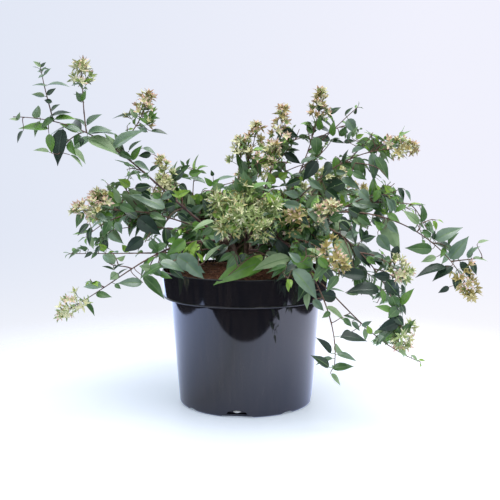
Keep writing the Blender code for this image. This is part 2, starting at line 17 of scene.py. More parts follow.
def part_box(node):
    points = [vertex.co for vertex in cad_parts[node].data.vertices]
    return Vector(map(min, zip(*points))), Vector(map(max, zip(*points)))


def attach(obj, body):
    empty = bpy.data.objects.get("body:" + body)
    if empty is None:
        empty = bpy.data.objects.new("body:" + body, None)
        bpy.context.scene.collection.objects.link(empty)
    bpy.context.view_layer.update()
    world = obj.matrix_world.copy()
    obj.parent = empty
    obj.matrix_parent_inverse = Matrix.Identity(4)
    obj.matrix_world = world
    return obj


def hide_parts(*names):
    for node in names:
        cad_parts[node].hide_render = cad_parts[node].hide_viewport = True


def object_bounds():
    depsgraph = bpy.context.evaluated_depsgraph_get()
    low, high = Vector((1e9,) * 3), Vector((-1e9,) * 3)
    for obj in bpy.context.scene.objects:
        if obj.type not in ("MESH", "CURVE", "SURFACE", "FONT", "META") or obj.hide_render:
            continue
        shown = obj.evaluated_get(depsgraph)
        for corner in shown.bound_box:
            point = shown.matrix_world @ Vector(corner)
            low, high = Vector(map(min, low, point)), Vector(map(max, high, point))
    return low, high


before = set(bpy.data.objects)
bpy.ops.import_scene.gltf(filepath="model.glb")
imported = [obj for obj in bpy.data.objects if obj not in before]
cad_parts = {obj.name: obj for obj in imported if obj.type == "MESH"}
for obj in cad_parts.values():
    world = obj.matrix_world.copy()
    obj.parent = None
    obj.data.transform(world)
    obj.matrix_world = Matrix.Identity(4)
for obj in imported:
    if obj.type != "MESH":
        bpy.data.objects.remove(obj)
cad_low, cad_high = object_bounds()
MM = 0.001

# Pot
# One thin shell of black polypropylene, moulded with a deep band round its mouth that other pots
# stack by. It is turned from one profile, and drain openings are cut through its bottom corner.
POT_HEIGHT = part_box("pot")[1].z
RIM_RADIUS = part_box("pot")[1].x
BAND_DEPTH = 36.5 * MM
BAND_FOOT_RADIUS = RIM_RADIUS - 2.2 * MM
BAND_BEAD = 1.1 * MM
BODY_TOP_RADIUS = RIM_RADIUS - 11.8 * MM
BASE_RADIUS = RIM_RADIUS - 22.5 * MM
BASE_CORNER = 4 * MM
POT_WALL = 2 * MM
POT_STEPS = 192
LIP_ROUND = 0.9 * MM
WELD = 0.02 * MM
DRAIN_COUNT = 8
DRAIN_DEPTH = 17 * MM
FIRST_DRAIN_AZIMUTH = 263
WALL_DRAIN = (27 * MM, 2 * MM, 10 * MM)
FOOT_DRAIN = (22 * MM, -2 * MM, 3.5 * MM)
FOOT_ARCH = (43 * MM, -2 * MM, 4.2 * MM)
PLASTIC_BLACK = (0.008, 0.008, 0.010)
PLASTIC_BROWN = (0.017, 0.014, 0.014)
PLASTIC_ROUGHNESS = (0.03, 0.09)
FLOW_SQUEEZE = (60, 60, 3)
DUST_GREY = (0.04, 0.04, 0.045)
DUST_MOST = 0.2


def add_node(tree, kind, inputs=None, **settings):
    """A shader node with its settings, and each named input either linked or set."""
    made = tree.nodes.new(kind)
    for key, value in settings.items():
        setattr(made, key, value)
    for key, value in (inputs or {}).items():
        if isinstance(value, bpy.types.NodeSocket):
            tree.links.new(value, made.inputs[key])
        else:
            made.inputs[key].default_value = value
    return made


def noise_at(tree, place, scale, detail, distortion=0.0):
    """The value socket of a noise texture, its numbers plain or sockets."""
    values = {"Vector": place, "Scale": scale, "Detail": detail, "Distortion": distortion}
    return add_node(tree, "ShaderNodeTexNoise", values).outputs["Fac"]


def stretch(tree, value, low, high, least=0.0, most=1.0, **settings):
    """The socket of a value that runs from least to most while what it is made from runs from low to high."""
    values = {"Value": value, "From Min": low, "From Max": high, "To Min": least, "To Max": most}
    return add_node(tree, "ShaderNodeMapRange", values, **settings).outputs[0]


def maths(tree, operation, first, second=0.0):
    """The socket of an operation on one or two values, each a plain number or a socket."""
    return add_node(tree, "ShaderNodeMath", {0: first, 1: second}, operation=operation).outputs[0]


def blend(tree, share, first, second):
    """The socket of a mix of two values by a share."""
    return add_node(tree, "ShaderNodeMix", {0: share, 2: first, 3: second}, data_type="FLOAT").outputs[0]


def add_relief(tree, shader, height, strength, distance):
    """Gives a shader fine relief from a height."""
    bump = add_node(tree, "ShaderNodeBump", {"Height": height, "Strength": strength, "Distance": distance})
    tree.links.new(bump.outputs[0], shader.inputs["Normal"])


def new_finish(name, colour, roughness, **constants):
    """A material with its shader's plain values, and the node tree and shader to add to."""
    material = bpy.data.materials.new(name)
    material.use_nodes = True
    tree = material.node_tree
    shader = tree.nodes["Principled BSDF"]
    shader.inputs["Base Color"].default_value = (*colour, 1)
    shader.inputs["Roughness"].default_value = roughness
    for key, value in constants.items():
        shader.inputs[key.replace("_", " ").title().replace("Ior", "IOR")].default_value = value
    return material, tree, shader


def mix_colours(tree, share, first, second):
    """The colour socket of a mix of two colours, each a plain colour or a socket, by a share's socket."""
    made = add_node(tree, "ShaderNodeMix", {0: share}, data_type="RGBA")
    for place, colour in ((6, first), (7, second)):
        if isinstance(colour, bpy.types.NodeSocket):
            tree.links.new(colour, made.inputs[place])
        else:
            made.inputs[place].default_value = (*colour, 1)
    return made.outputs[2]


def new_group(name, inputs, outputs):
    """An empty shader node group with its named sockets, each given as a kind and a start value."""
    tree = bpy.data.node_groups.new(name, "ShaderNodeTree")
    for label, (kind, value) in inputs.items():
        socket = tree.interface.new_socket(label, in_out="INPUT", socket_type="NodeSocket" + kind)
        socket.default_value = value
    for label, kind in outputs.items():
        tree.interface.new_socket(label, in_out="OUTPUT", socket_type="NodeSocket" + kind)
    return tree, tree.nodes.new("NodeGroupInput"), tree.nodes.new("NodeGroupOutput")


def place_group(tree, group, values):
    """The outputs of a group that is placed in a material, with its inputs linked or set."""
    return add_node(tree, "ShaderNodeGroup", values, node_tree=group).outputs


def object_from(name, data):
    """A scene object for a mesh, a camera or a lamp."""
    made = bpy.data.objects.new(name, data)
    bpy.context.scene.collection.objects.link(made)
    return made


def settle(piece):
    """Applies a piece's modifiers to its mesh."""
    mesh = bpy.data.meshes.new_from_object(piece.evaluated_get(bpy.context.evaluated_depsgraph_get()))
    piece.modifiers.clear()
    piece.data = mesh
    return piece


def turned(name, profile, steps):
    """A surface turned about Z from a profile of radii and heights, which may touch the axis."""
    edges = [(i, i + 1) for i in range(len(profile) - 1) if profile[i][0] or profile[i + 1][0]]
    mesh = bpy.data.meshes.new(name)
    mesh.from_pydata([(r, 0, z) for r, z in profile], edges, [])
    piece = object_from(name, mesh)
    screw = piece.modifiers.new("turn", "SCREW")
    screw.steps = screw.render_steps = steps
    screw.use_merge_vertices = True
    screw.merge_threshold = WELD
    return settle(piece)


def quarter(centre_r, centre_z, radius, start, end, count):
    """Points of an arc in a profile, from one angle to another in degrees."""
    angles = [math.radians(start + (end - start) * i / (count - 1)) for i in range(count)]
    return [(centre_r + radius * math.cos(a), centre_z + radius * math.sin(a)) for a in angles]


def straight(start, end, count=8):
    """Points of a straight stretch of a profile, with more near its ends, so that it shades as flat."""
    shares = [0.0, 0.02, *[i / count for i in range(1, count)], 0.98, 1.0]
    return [(start[0] + (end[0] - start[0]) * k, start[1] + (end[1] - start[1]) * k) for k in shares]


def pot_profile():
    """The pot's section, from its rim down the outside to the axis, and back up inside."""
    foot_z = POT_HEIGHT - BAND_DEPTH
    bead = BAND_BEAD
    outer = [(RIM_RADIUS - LIP_ROUND, POT_HEIGHT)]
    outer += quarter(RIM_RADIUS - LIP_ROUND, POT_HEIGHT - LIP_ROUND, LIP_ROUND, 80, 4, 4)
    outer += straight((RIM_RADIUS - 0.1 * MM, POT_HEIGHT - 2 * MM), (BAND_FOOT_RADIUS, foot_z + bead * 2.6))
    outer += quarter(BAND_FOOT_RADIUS, foot_z + bead * 1.4, bead, 75, -90, 9)
    outer += [(BAND_FOOT_RADIUS - 1.5 * MM, foot_z + 0.4 * MM)]
    outer += quarter(BODY_TOP_RADIUS + 1.6 * MM, foot_z - 1.2 * MM, 1.6 * MM, 90, 176, 5)
    outer += straight((BODY_TOP_RADIUS, foot_z - 1.6 * MM), (BASE_RADIUS, BASE_CORNER + 0.5 * MM))
    outer += quarter(BASE_RADIUS - BASE_CORNER, BASE_CORNER, BASE_CORNER, -8, -90, 6)
    outer += [(BASE_RADIUS - 9 * MM, 0), (BASE_RADIUS - 10 * MM, 0.6 * MM), (22 * MM, 0.6 * MM), (21 * MM, 0)]
    outer += [(7 * MM, 0), (6 * MM, 0.8 * MM), (0, 0.8 * MM)]
    inner = [(0, POT_WALL + 0.4 * MM), (BASE_RADIUS - POT_WALL - 3 * MM, POT_WALL + 0.4 * MM)]
    inner += [(BASE_RADIUS - POT_WALL, BASE_CORNER + 1 * MM), (BODY_TOP_RADIUS - POT_WALL, foot_z - 2 * MM)]
    inner += [(BODY_TOP_RADIUS - POT_WALL + 1.5 * MM, foot_z + POT_WALL)]
    inner += [(BAND_FOOT_RADIUS - POT_WALL - 1.5 * MM, foot_z + POT_WALL)]
    inner += [(BAND_FOOT_RADIUS - POT_WALL, foot_z + POT_WALL + 1.5 * MM)]
    inner += [(RIM_RADIUS - POT_WALL, POT_HEIGHT - 0.6 * MM), (RIM_RADIUS - POT_WALL + 0.6 * MM, POT_HEIGHT)]
    return outer + inner + [outer[0]]


def drain_cutter(azimuth, width, foot, head):
    """The block that cuts one opening through the wall: an arch, narrower and rounded at its head."""
    rise = [(math.cos(a), math.sin(a)) for a in np.linspace(0, math.pi, 13)]
    arch_line = [(x * width / 2, foot + (head - foot) * y ** 0.6) for x, y in rise]
    out = Vector((math.cos(azimuth), math.sin(azimuth), 0))
    side = Vector((-out.y, out.x, 0))
    ends = (BASE_RADIUS - DRAIN_DEPTH / 2, BASE_RADIUS + DRAIN_DEPTH / 2)
    points = [out * r + side * x + Vector((0, 0, z)) for r in ends for x, z in arch_line]
    n = len(arch_line)
    faces = [(i, (i + 1) % n, n + (i + 1) % n, n + i) for i in range(n)]
    faces += [tuple(range(n - 1, -1, -1)), tuple(range(n, 2 * n))]
    mesh = bpy.data.meshes.new("drain")
    mesh.from_pydata(points, [], faces)
    return object_from("drain", mesh)


def black_plastic():
    """Glossy black plastic with flow lines down the wall, a little dust and a faint waviness."""
    material, tree, shader = new_finish("black_plastic", PLASTIC_BLACK, 0.06, ior=1.52)
    place = add_node(tree, "ShaderNodeTexCoord").outputs["Object"]
    tall = add_node(tree, "ShaderNodeMapping", {"Vector": place, "Scale": FLOW_SQUEEZE}).outputs[0]
    flow = noise_at(tree, tall, scale=3, detail=5)
    specks = noise_at(tree, place, scale=900, detail=3)
    waves = noise_at(tree, place, scale=14, detail=2)
    tint = mix_colours(tree, stretch(tree, flow, 0.35, 0.65), PLASTIC_BLACK, PLASTIC_BROWN)
    dusty = mix_colours(tree, stretch(tree, specks, 0.6, 0.8, most=DUST_MOST), tint, DUST_GREY)
    tree.links.new(dusty, shader.inputs["Base Color"])
    tree.links.new(stretch(tree, flow, 0, 1, *PLASTIC_ROUGHNESS), shader.inputs["Roughness"])
    add_relief(tree, shader, maths(tree, "ADD", flow, waves), 0.1, 0.2 * MM)
    return material


pot = turned("pot_shell", pot_profile(), POT_STEPS)
for i in range(DRAIN_COUNT):
    azimuth = math.radians(FIRST_DRAIN_AZIMUTH + i * 360 / DRAIN_COUNT)
    for shape in ((FOOT_DRAIN,) if i % 2 else (WALL_DRAIN, FOOT_ARCH)):
        cutter = drain_cutter(azimuth, *shape)
        cut = pot.modifiers.new("drain", "BOOLEAN")
        cut.operation = "DIFFERENCE"
        cut.solver = "EXACT"
        cut.object = cutter
        settle(pot)
        bpy.data.objects.remove(cutter)
pot.data.materials.clear()
pot.data.materials.append(black_plastic())
pot.data.shade_smooth()
pot.data.set_sharp_from_angle(angle=math.radians(38))
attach(pot, "root")
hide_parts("pot")

# Growing medium
# Damp coir and composted bark, filled to just under the rim, lower at the front wall than at the back.
# A lumpy bed carries loose chips of bark and curled coir fibres. A pale grain sits in each opening
# through the pot's wall as painted light, for the lit patch seen inside, and the bed's sides down
# inside the pot are near black as painted shade.
MEDIUM_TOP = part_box("growing_medium")[1].z
MEDIUM_EDGE = MEDIUM_TOP - 10 * MM
MEDIUM_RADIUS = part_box("growing_medium")[1].x
BACK_BANK = 0.9
BED_RINGS = 46
BED_STEPS = 120
BED_GAP = 0.8 * MM
CHIP_COUNT = 420
CHIP_SIZES = ((2, 7), (1.5, 4), (0.6, 1.6))
CHIP_TILT = 0.4
CHIP_PULL = (0.55, 1.1)
FIBRE_COUNT = 700
FIBRE_STEPS = 6
FIBRE_STEP = (1.2, 3)
FIBRE_CURL = 120
FIBRE_RADIUS = 0.28 * MM
GRAIN_SINK = 2.8 * MM
GRAIN_HEIGHT = 7.6 * MM
GRAIN_STEP = 0.026
GRAIN_RADII = np.array((0.8, 1.7, 1.9, 1.5, 0.6)) * MM
GRAIN_INPUTS = ("Coarse Scale", "Coarse Detail", "Fine Scale", "Fine Detail", "Distortion",
                "Darkest", "Palest")
DAMP_COIR = (120.0, 4.0, 700.0, 5.0, 1.5, 0.12, 0.42)
COIR_RELIEF = (0.6, 1 * MM)
COIR_LIGHT, COIR_DARK, LIT_PATCH_GRAIN = range(3)
UP = np.array((0.0, 0.0, 1.0))


class Batch:
    """Corner points and faces of many like pieces, gathered into one mesh by piece of the plant."""

    def __init__(self):
        self.points = []
        self.faces = []
        self.finishes = []
        self.count = 0

    def add(self, points, faces, finish):
        """Adds a piece: its points, its faces as rows of corners, and one finish or one for each face."""
        self.points.append(points)
        self.faces.extend((np.asarray(faces) + self.count).tolist())
        self.finishes.extend(np.broadcast_to(finish, len(faces)).tolist())
        self.count += len(points)

    def make(self, name, materials, sharp=40):
        """Makes the gathered mesh an object with its materials, smooth but for its sharp edges."""
        mesh = bpy.data.meshes.new(name)
        mesh.from_pydata(np.concatenate(self.points).tolist(), [], self.faces)
        for material in materials:
            mesh.materials.append(material)
        mesh.polygons.foreach_set("material_index", self.finishes)
        mesh.shade_smooth()
        if sharp:
            mesh.set_sharp_from_angle(angle=math.radians(sharp))
        return object_from(name, mesh)


def ring_faces(rings, sides):
    """Corners of the quads between rings of points, each with the same number of sides."""
    faces = []
    for i in range(rings - 1):
        for j in range(sides):
            k = (j + 1) % sides
            faces.append((i * sides + j, i * sides + k, (i + 1) * sides + k, (i + 1) * sides + j))
    return faces


def unit(v):
    """A vector, or rows of them, made one long."""
    return v / np.linalg.norm(v, axis=-1, keepdims=True)


def tube(batch, points, radii, sides, finish, relief=0.0, grain=400.0):
    """A tube through points, with a radius at each, a relief cut into it and a point at its end."""
    points = np.asarray(points, float)
    heading = unit(np.gradient(points, axis=0))
    side = np.cross(heading[0], (0.31, 0.23, 0.92))
    rows = []
    for point, ahead, radius in zip(points, heading, radii):
        side = unit(side - ahead * (side @ ahead))
        lift = np.cross(ahead, side)
        for j in range(sides):
            a = 2 * math.pi * j / sides
            out = side * math.cos(a) + lift * math.sin(a)
            swell = 1.0
            if relief:
                swell += relief * noise.noise(Vector(point * 0.35 + out * radius) * grain)
            rows.append(point + out * radius * swell)
    faces = ring_faces(len(points), sides)
    rows.append(points[-1] + heading[-1] * radii[-1] * 0.6)
    batch.add(np.array(rows), faces, finish)
    last = (len(points) - 1) * sides - len(rows)
    batch.faces.extend([[batch.count + last + j, batch.count + last + (j + 1) % sides, batch.count - 1]
                        for j in range(sides)])
    batch.finishes.extend([finish] * sides)


def bed_height(x, y):
    """Height of the medium's lumpy surface at a place inside the pot."""
    share = min(1.0, math.hypot(x, y) / MEDIUM_RADIUS)
    bank = BACK_BANK * min(1.0, max(0.0, (y - 0.4 * x) / MEDIUM_RADIUS))
    level = MEDIUM_TOP - (MEDIUM_TOP - MEDIUM_EDGE) * (1 - bank) * max(0.0, share - 0.35) / 0.65
    lumps = 2.2 * noise.noise(Vector((x, y, 0.2)) * 70) + 1.6 * noise.noise(Vector((x, y, 0.7)) * 230)
    return level + (lumps - 0.8) * MM


def ring_places(radius):
    """Level places all round the pot's axis at a radius."""
    angles = [2 * math.pi * j / BED_STEPS for j in range(BED_STEPS)]
    return [(radius * math.cos(a), radius * math.sin(a)) for a in angles]


def lumpy_bed():
    """The medium as one closed body, its top in rings that follow the lumps."""
    batch = Batch()
    rows = []
    for i in range(BED_RINGS):
        radius = MEDIUM_RADIUS * (0.01 + 0.99 * i / (BED_RINGS - 1))
        rows += [(x, y, bed_height(x, y)) for x, y in ring_places(radius)]
    ledge_z = POT_HEIGHT - BAND_DEPTH + POT_WALL + 0.4 * MM
    wall = [(BAND_FOOT_RADIUS - POT_WALL - 0.6 * MM, ledge_z)]
    wall += [(BODY_TOP_RADIUS - POT_WALL - BED_GAP, ledge_z), (BASE_RADIUS - POT_WALL - BED_GAP, 7 * MM)]
    wall += [(BASE_RADIUS - 12 * MM, 3 * MM), (2 * MM, 3 * MM)]
    for radius, z in wall:
        rows += [(x, y, z) for x, y in ring_places(radius)]
    faces = ring_faces(BED_RINGS + len(wall), BED_STEPS)
    batch.add(np.array(rows), faces, 0)
    # The sides down inside the pot take the second finish, near black as painted shade.
    batch.finishes = [1 if i >= BED_RINGS * BED_STEPS else 0 for i in range(len(faces))]
    batch.faces.append(list(range(BED_STEPS - 1, -1, -1)))
    batch.faces.append([batch.count - BED_STEPS + j for j in range(BED_STEPS)])
    batch.finishes.extend([0, 0])
    return batch


def grain_group():
    """Fine noise within coarse noise, as in coir and bark: a shade from 0 to 1, and a height for relief."""
    inputs = {name: ("Float", value) for name, value in zip(GRAIN_INPUTS, DAMP_COIR)}
    tree, starts, ends = new_group("plant_grain", inputs, {"Shade": "Float", "Height": "Float"})
    given = starts.outputs
    place = add_node(tree, "ShaderNodeTexCoord").outputs["Object"]
    coarse = noise_at(tree, place, given["Coarse Scale"], given["Coarse Detail"])
    fine = noise_at(tree, place, given["Fine Scale"], given["Fine Detail"], given["Distortion"])
    shade = stretch(tree, maths(tree, "MULTIPLY", coarse, fine), given["Darkest"], given["Palest"])
    tree.links.new(shade, ends.inputs["Shade"])
    tree.links.new(fine, ends.inputs["Height"])
    return tree


plant_grain = grain_group()


def grained(name, dark, light, roughness, values, relief):
    """Matt plant matter between two shades, in a grain of its own and with its relief."""
    material, tree, shader = new_finish(name, dark, roughness)
    grain = place_group(tree, plant_grain, dict(zip(GRAIN_INPUTS, values)))
    tree.links.new(mix_colours(tree, grain["Shade"], dark, light), shader.inputs["Base Color"])
    add_relief(tree, shader, grain["Height"], *relief)
    return material


def damp_coir(name, dark, light, roughness):
    """Fibrous matter, darker where it is damp."""
    return grained(name, dark, light, roughness, DAMP_COIR, COIR_RELIEF)


coir_dark = damp_coir("damp_coir", (0.050, 0.018, 0.009), (0.33, 0.125, 0.058), 0.9)
coir_light = damp_coir("coir_fibre", (0.20, 0.08, 0.04), (0.50, 0.24, 0.13), 0.8)
bark_chip = damp_coir("bark_chip", (0.07, 0.03, 0.018), (0.27, 0.13, 0.075), 0.85)
# Painted light: a pale finish for the grain in each drain opening, standing in for the lit patch inside.
lit_patch_grain = damp_coir("lit_patch_grain", (0.50, 0.48, 0.40), (0.74, 0.72, 0.62), 0.9)
# Painted shade: near-black coir for the medium's sides down inside the pot, which show through the drain
# openings.
painted_shade_coir = damp_coir("painted_shade_coir", (0.004, 0.003, 0.002), (0.02, 0.012, 0.009), 0.6)

bed = lumpy_bed().make("growing_medium_bed", [coir_dark, painted_shade_coir], sharp=50)
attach(bed, "root")
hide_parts("growing_medium")


def scatter_place(rng):
    """A random place on the medium, and the height of the surface there."""
    radius = (MEDIUM_RADIUS - 5 * MM) * math.sqrt(rng.random())
    a = rng.uniform(0, 2 * math.pi)
    x, y = radius * math.cos(a), radius * math.sin(a)
    return np.array((x, y, bed_height(x, y)))


chips = Batch()
bed_rng = random.Random(71)
CUBE_FACES = [(0, 1, 3, 2), (4, 6, 7, 5), (0, 4, 5, 1), (2, 3, 7, 6), (0, 2, 6, 4), (1, 5, 7, 3)]
CUBE_SIGNS = [(a, b, c) for a in (-1, 1) for b in (-1, 1) for c in (-1, 1)]
for i in range(CHIP_COUNT):
    middle = scatter_place(bed_rng)
    along = unit(np.array([bed_rng.uniform(-most, most) for most in (1, 1, CHIP_TILT)]))
    across = unit(np.cross(along, (0.1, 0.2, 1)))
    up = np.cross(across, along)
    long, wide, thick = [bed_rng.uniform(*sizes) * MM for sizes in CHIP_SIZES]
    corners = []
    for a, b, c in CUBE_SIGNS:
        reach = along * a * long + across * b * wide + up * c * thick
        corners.append(middle + reach / 2 * bed_rng.uniform(*CHIP_PULL))
    chips.add(np.array(corners), CUBE_FACES, 0)
chip_piece = chips.make("bark_chips", [bark_chip])
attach(chip_piece, "root")

fibres = Batch()
for i in range(FIBRE_COUNT):
    middle = scatter_place(bed_rng)
    turn = bed_rng.uniform(0, 2 * math.pi)
    curl = bed_rng.uniform(-FIBRE_CURL, FIBRE_CURL)
    step = bed_rng.uniform(*FIBRE_STEP) * MM
    line = [middle + UP * 0.4 * MM]
    for k in range(FIBRE_STEPS):
        turn += curl * step
        spot = line[-1] + np.array((math.cos(turn), math.sin(turn), 0)) * step
        arc = math.sin(math.pi * (k + 1) / (FIBRE_STEPS + 1))
        spot[2] = bed_height(spot[0], spot[1]) + (0.5 + 1.6 * arc) * MM
        if math.hypot(spot[0], spot[1]) > MEDIUM_RADIUS - 1 * MM:
            break
        line.append(spot)
    if len(line) > FIBRE_STEPS / 2:
        tube(fibres, line, [FIBRE_RADIUS] * len(line), 3, bed_rng.choice((COIR_LIGHT, COIR_LIGHT, COIR_DARK)))
# A pale grain in each opening with a wall cut: painted light for the lit patch inside.
for i in range(0, DRAIN_COUNT, 2):
    azimuth = math.radians(FIRST_DRAIN_AZIMUTH + i * 360 / DRAIN_COUNT)
    turns = [azimuth + k * GRAIN_STEP for k in range(-2, 3)]
    outwards = [np.array((math.cos(a), math.sin(a), 0)) for a in turns]
    line = [out * (BASE_RADIUS - GRAIN_SINK) + UP * GRAIN_HEIGHT for out in outwards]
    tube(fibres, line, GRAIN_RADII, 6, LIT_PATCH_GRAIN)
fibre_piece = fibres.make("coir_fibres", [coir_light, coir_dark, lit_patch_grain], sharp=None)
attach(fibre_piece, "root")

# Stems and boughs
# Eight slender woody stems rise from the middle of the pot, and each forks into arching shoots. The
# bare part of a shoot is its bough. Older wood is grey brown and ridged lengthwise, and swells at each
# pair of old leaf scars.
STEM_RING_RADIUS = 19 * MM
STEM_FOOT_RADIUS = 5.6 * MM
STEM_RADIUS = 3.9 * MM
STEM_TIP_RADIUS = 2.9 * MM
FLARE_HEIGHT = 7 * MM
BOUGH_RADIUS = 1.8 * MM
BOUGH_TIP_RADIUS = 1.1 * MM
SHOOT_TIP_RADIUS = 0.5 * MM
STEM_STEPS = 30
NODE_SPACING = 24 * MM
OLD_WOOD, SHOOT_WOOD = range(2)
STEM_SIDES, STEM_RELIEF, STEM_GRAIN = 14, 0.28, 260
BOUGH_LOOK = (9, SHOOT_WOOD, 0.22, 420)
NODE_SWELL = 0.28
NODE_LENGTH = 1.6 * MM
UNSEEN_BARE = 0.12
FOOT_Z = MEDIUM_TOP + 0.3 * MM
BARK_GRAIN = (60.0, 2.0, 260.0, 4.0, 0.0, 0.14, 0.4)
BARK_RELIEF = (0.4, 0.3 * MM)

Stem = namedtuple("Stem", "name azimuth lean height")
STEMS = [
    Stem("left", 186, 27 * MM, 54 * MM),
    Stem("left_front", 230, 24 * MM, 44 * MM),
    Stem("front", 272, 24 * MM, 46 * MM),
    Stem("right_front", 312, 26 * MM, 50 * MM),
    Stem("right_low", 348, 27 * MM, 52 * MM),
    Stem("right", 26, 26 * MM, 62 * MM),
    Stem("back_right", 76, 24 * MM, 60 * MM),
    Stem("back_left", 132, 26 * MM, 56 * MM),
]

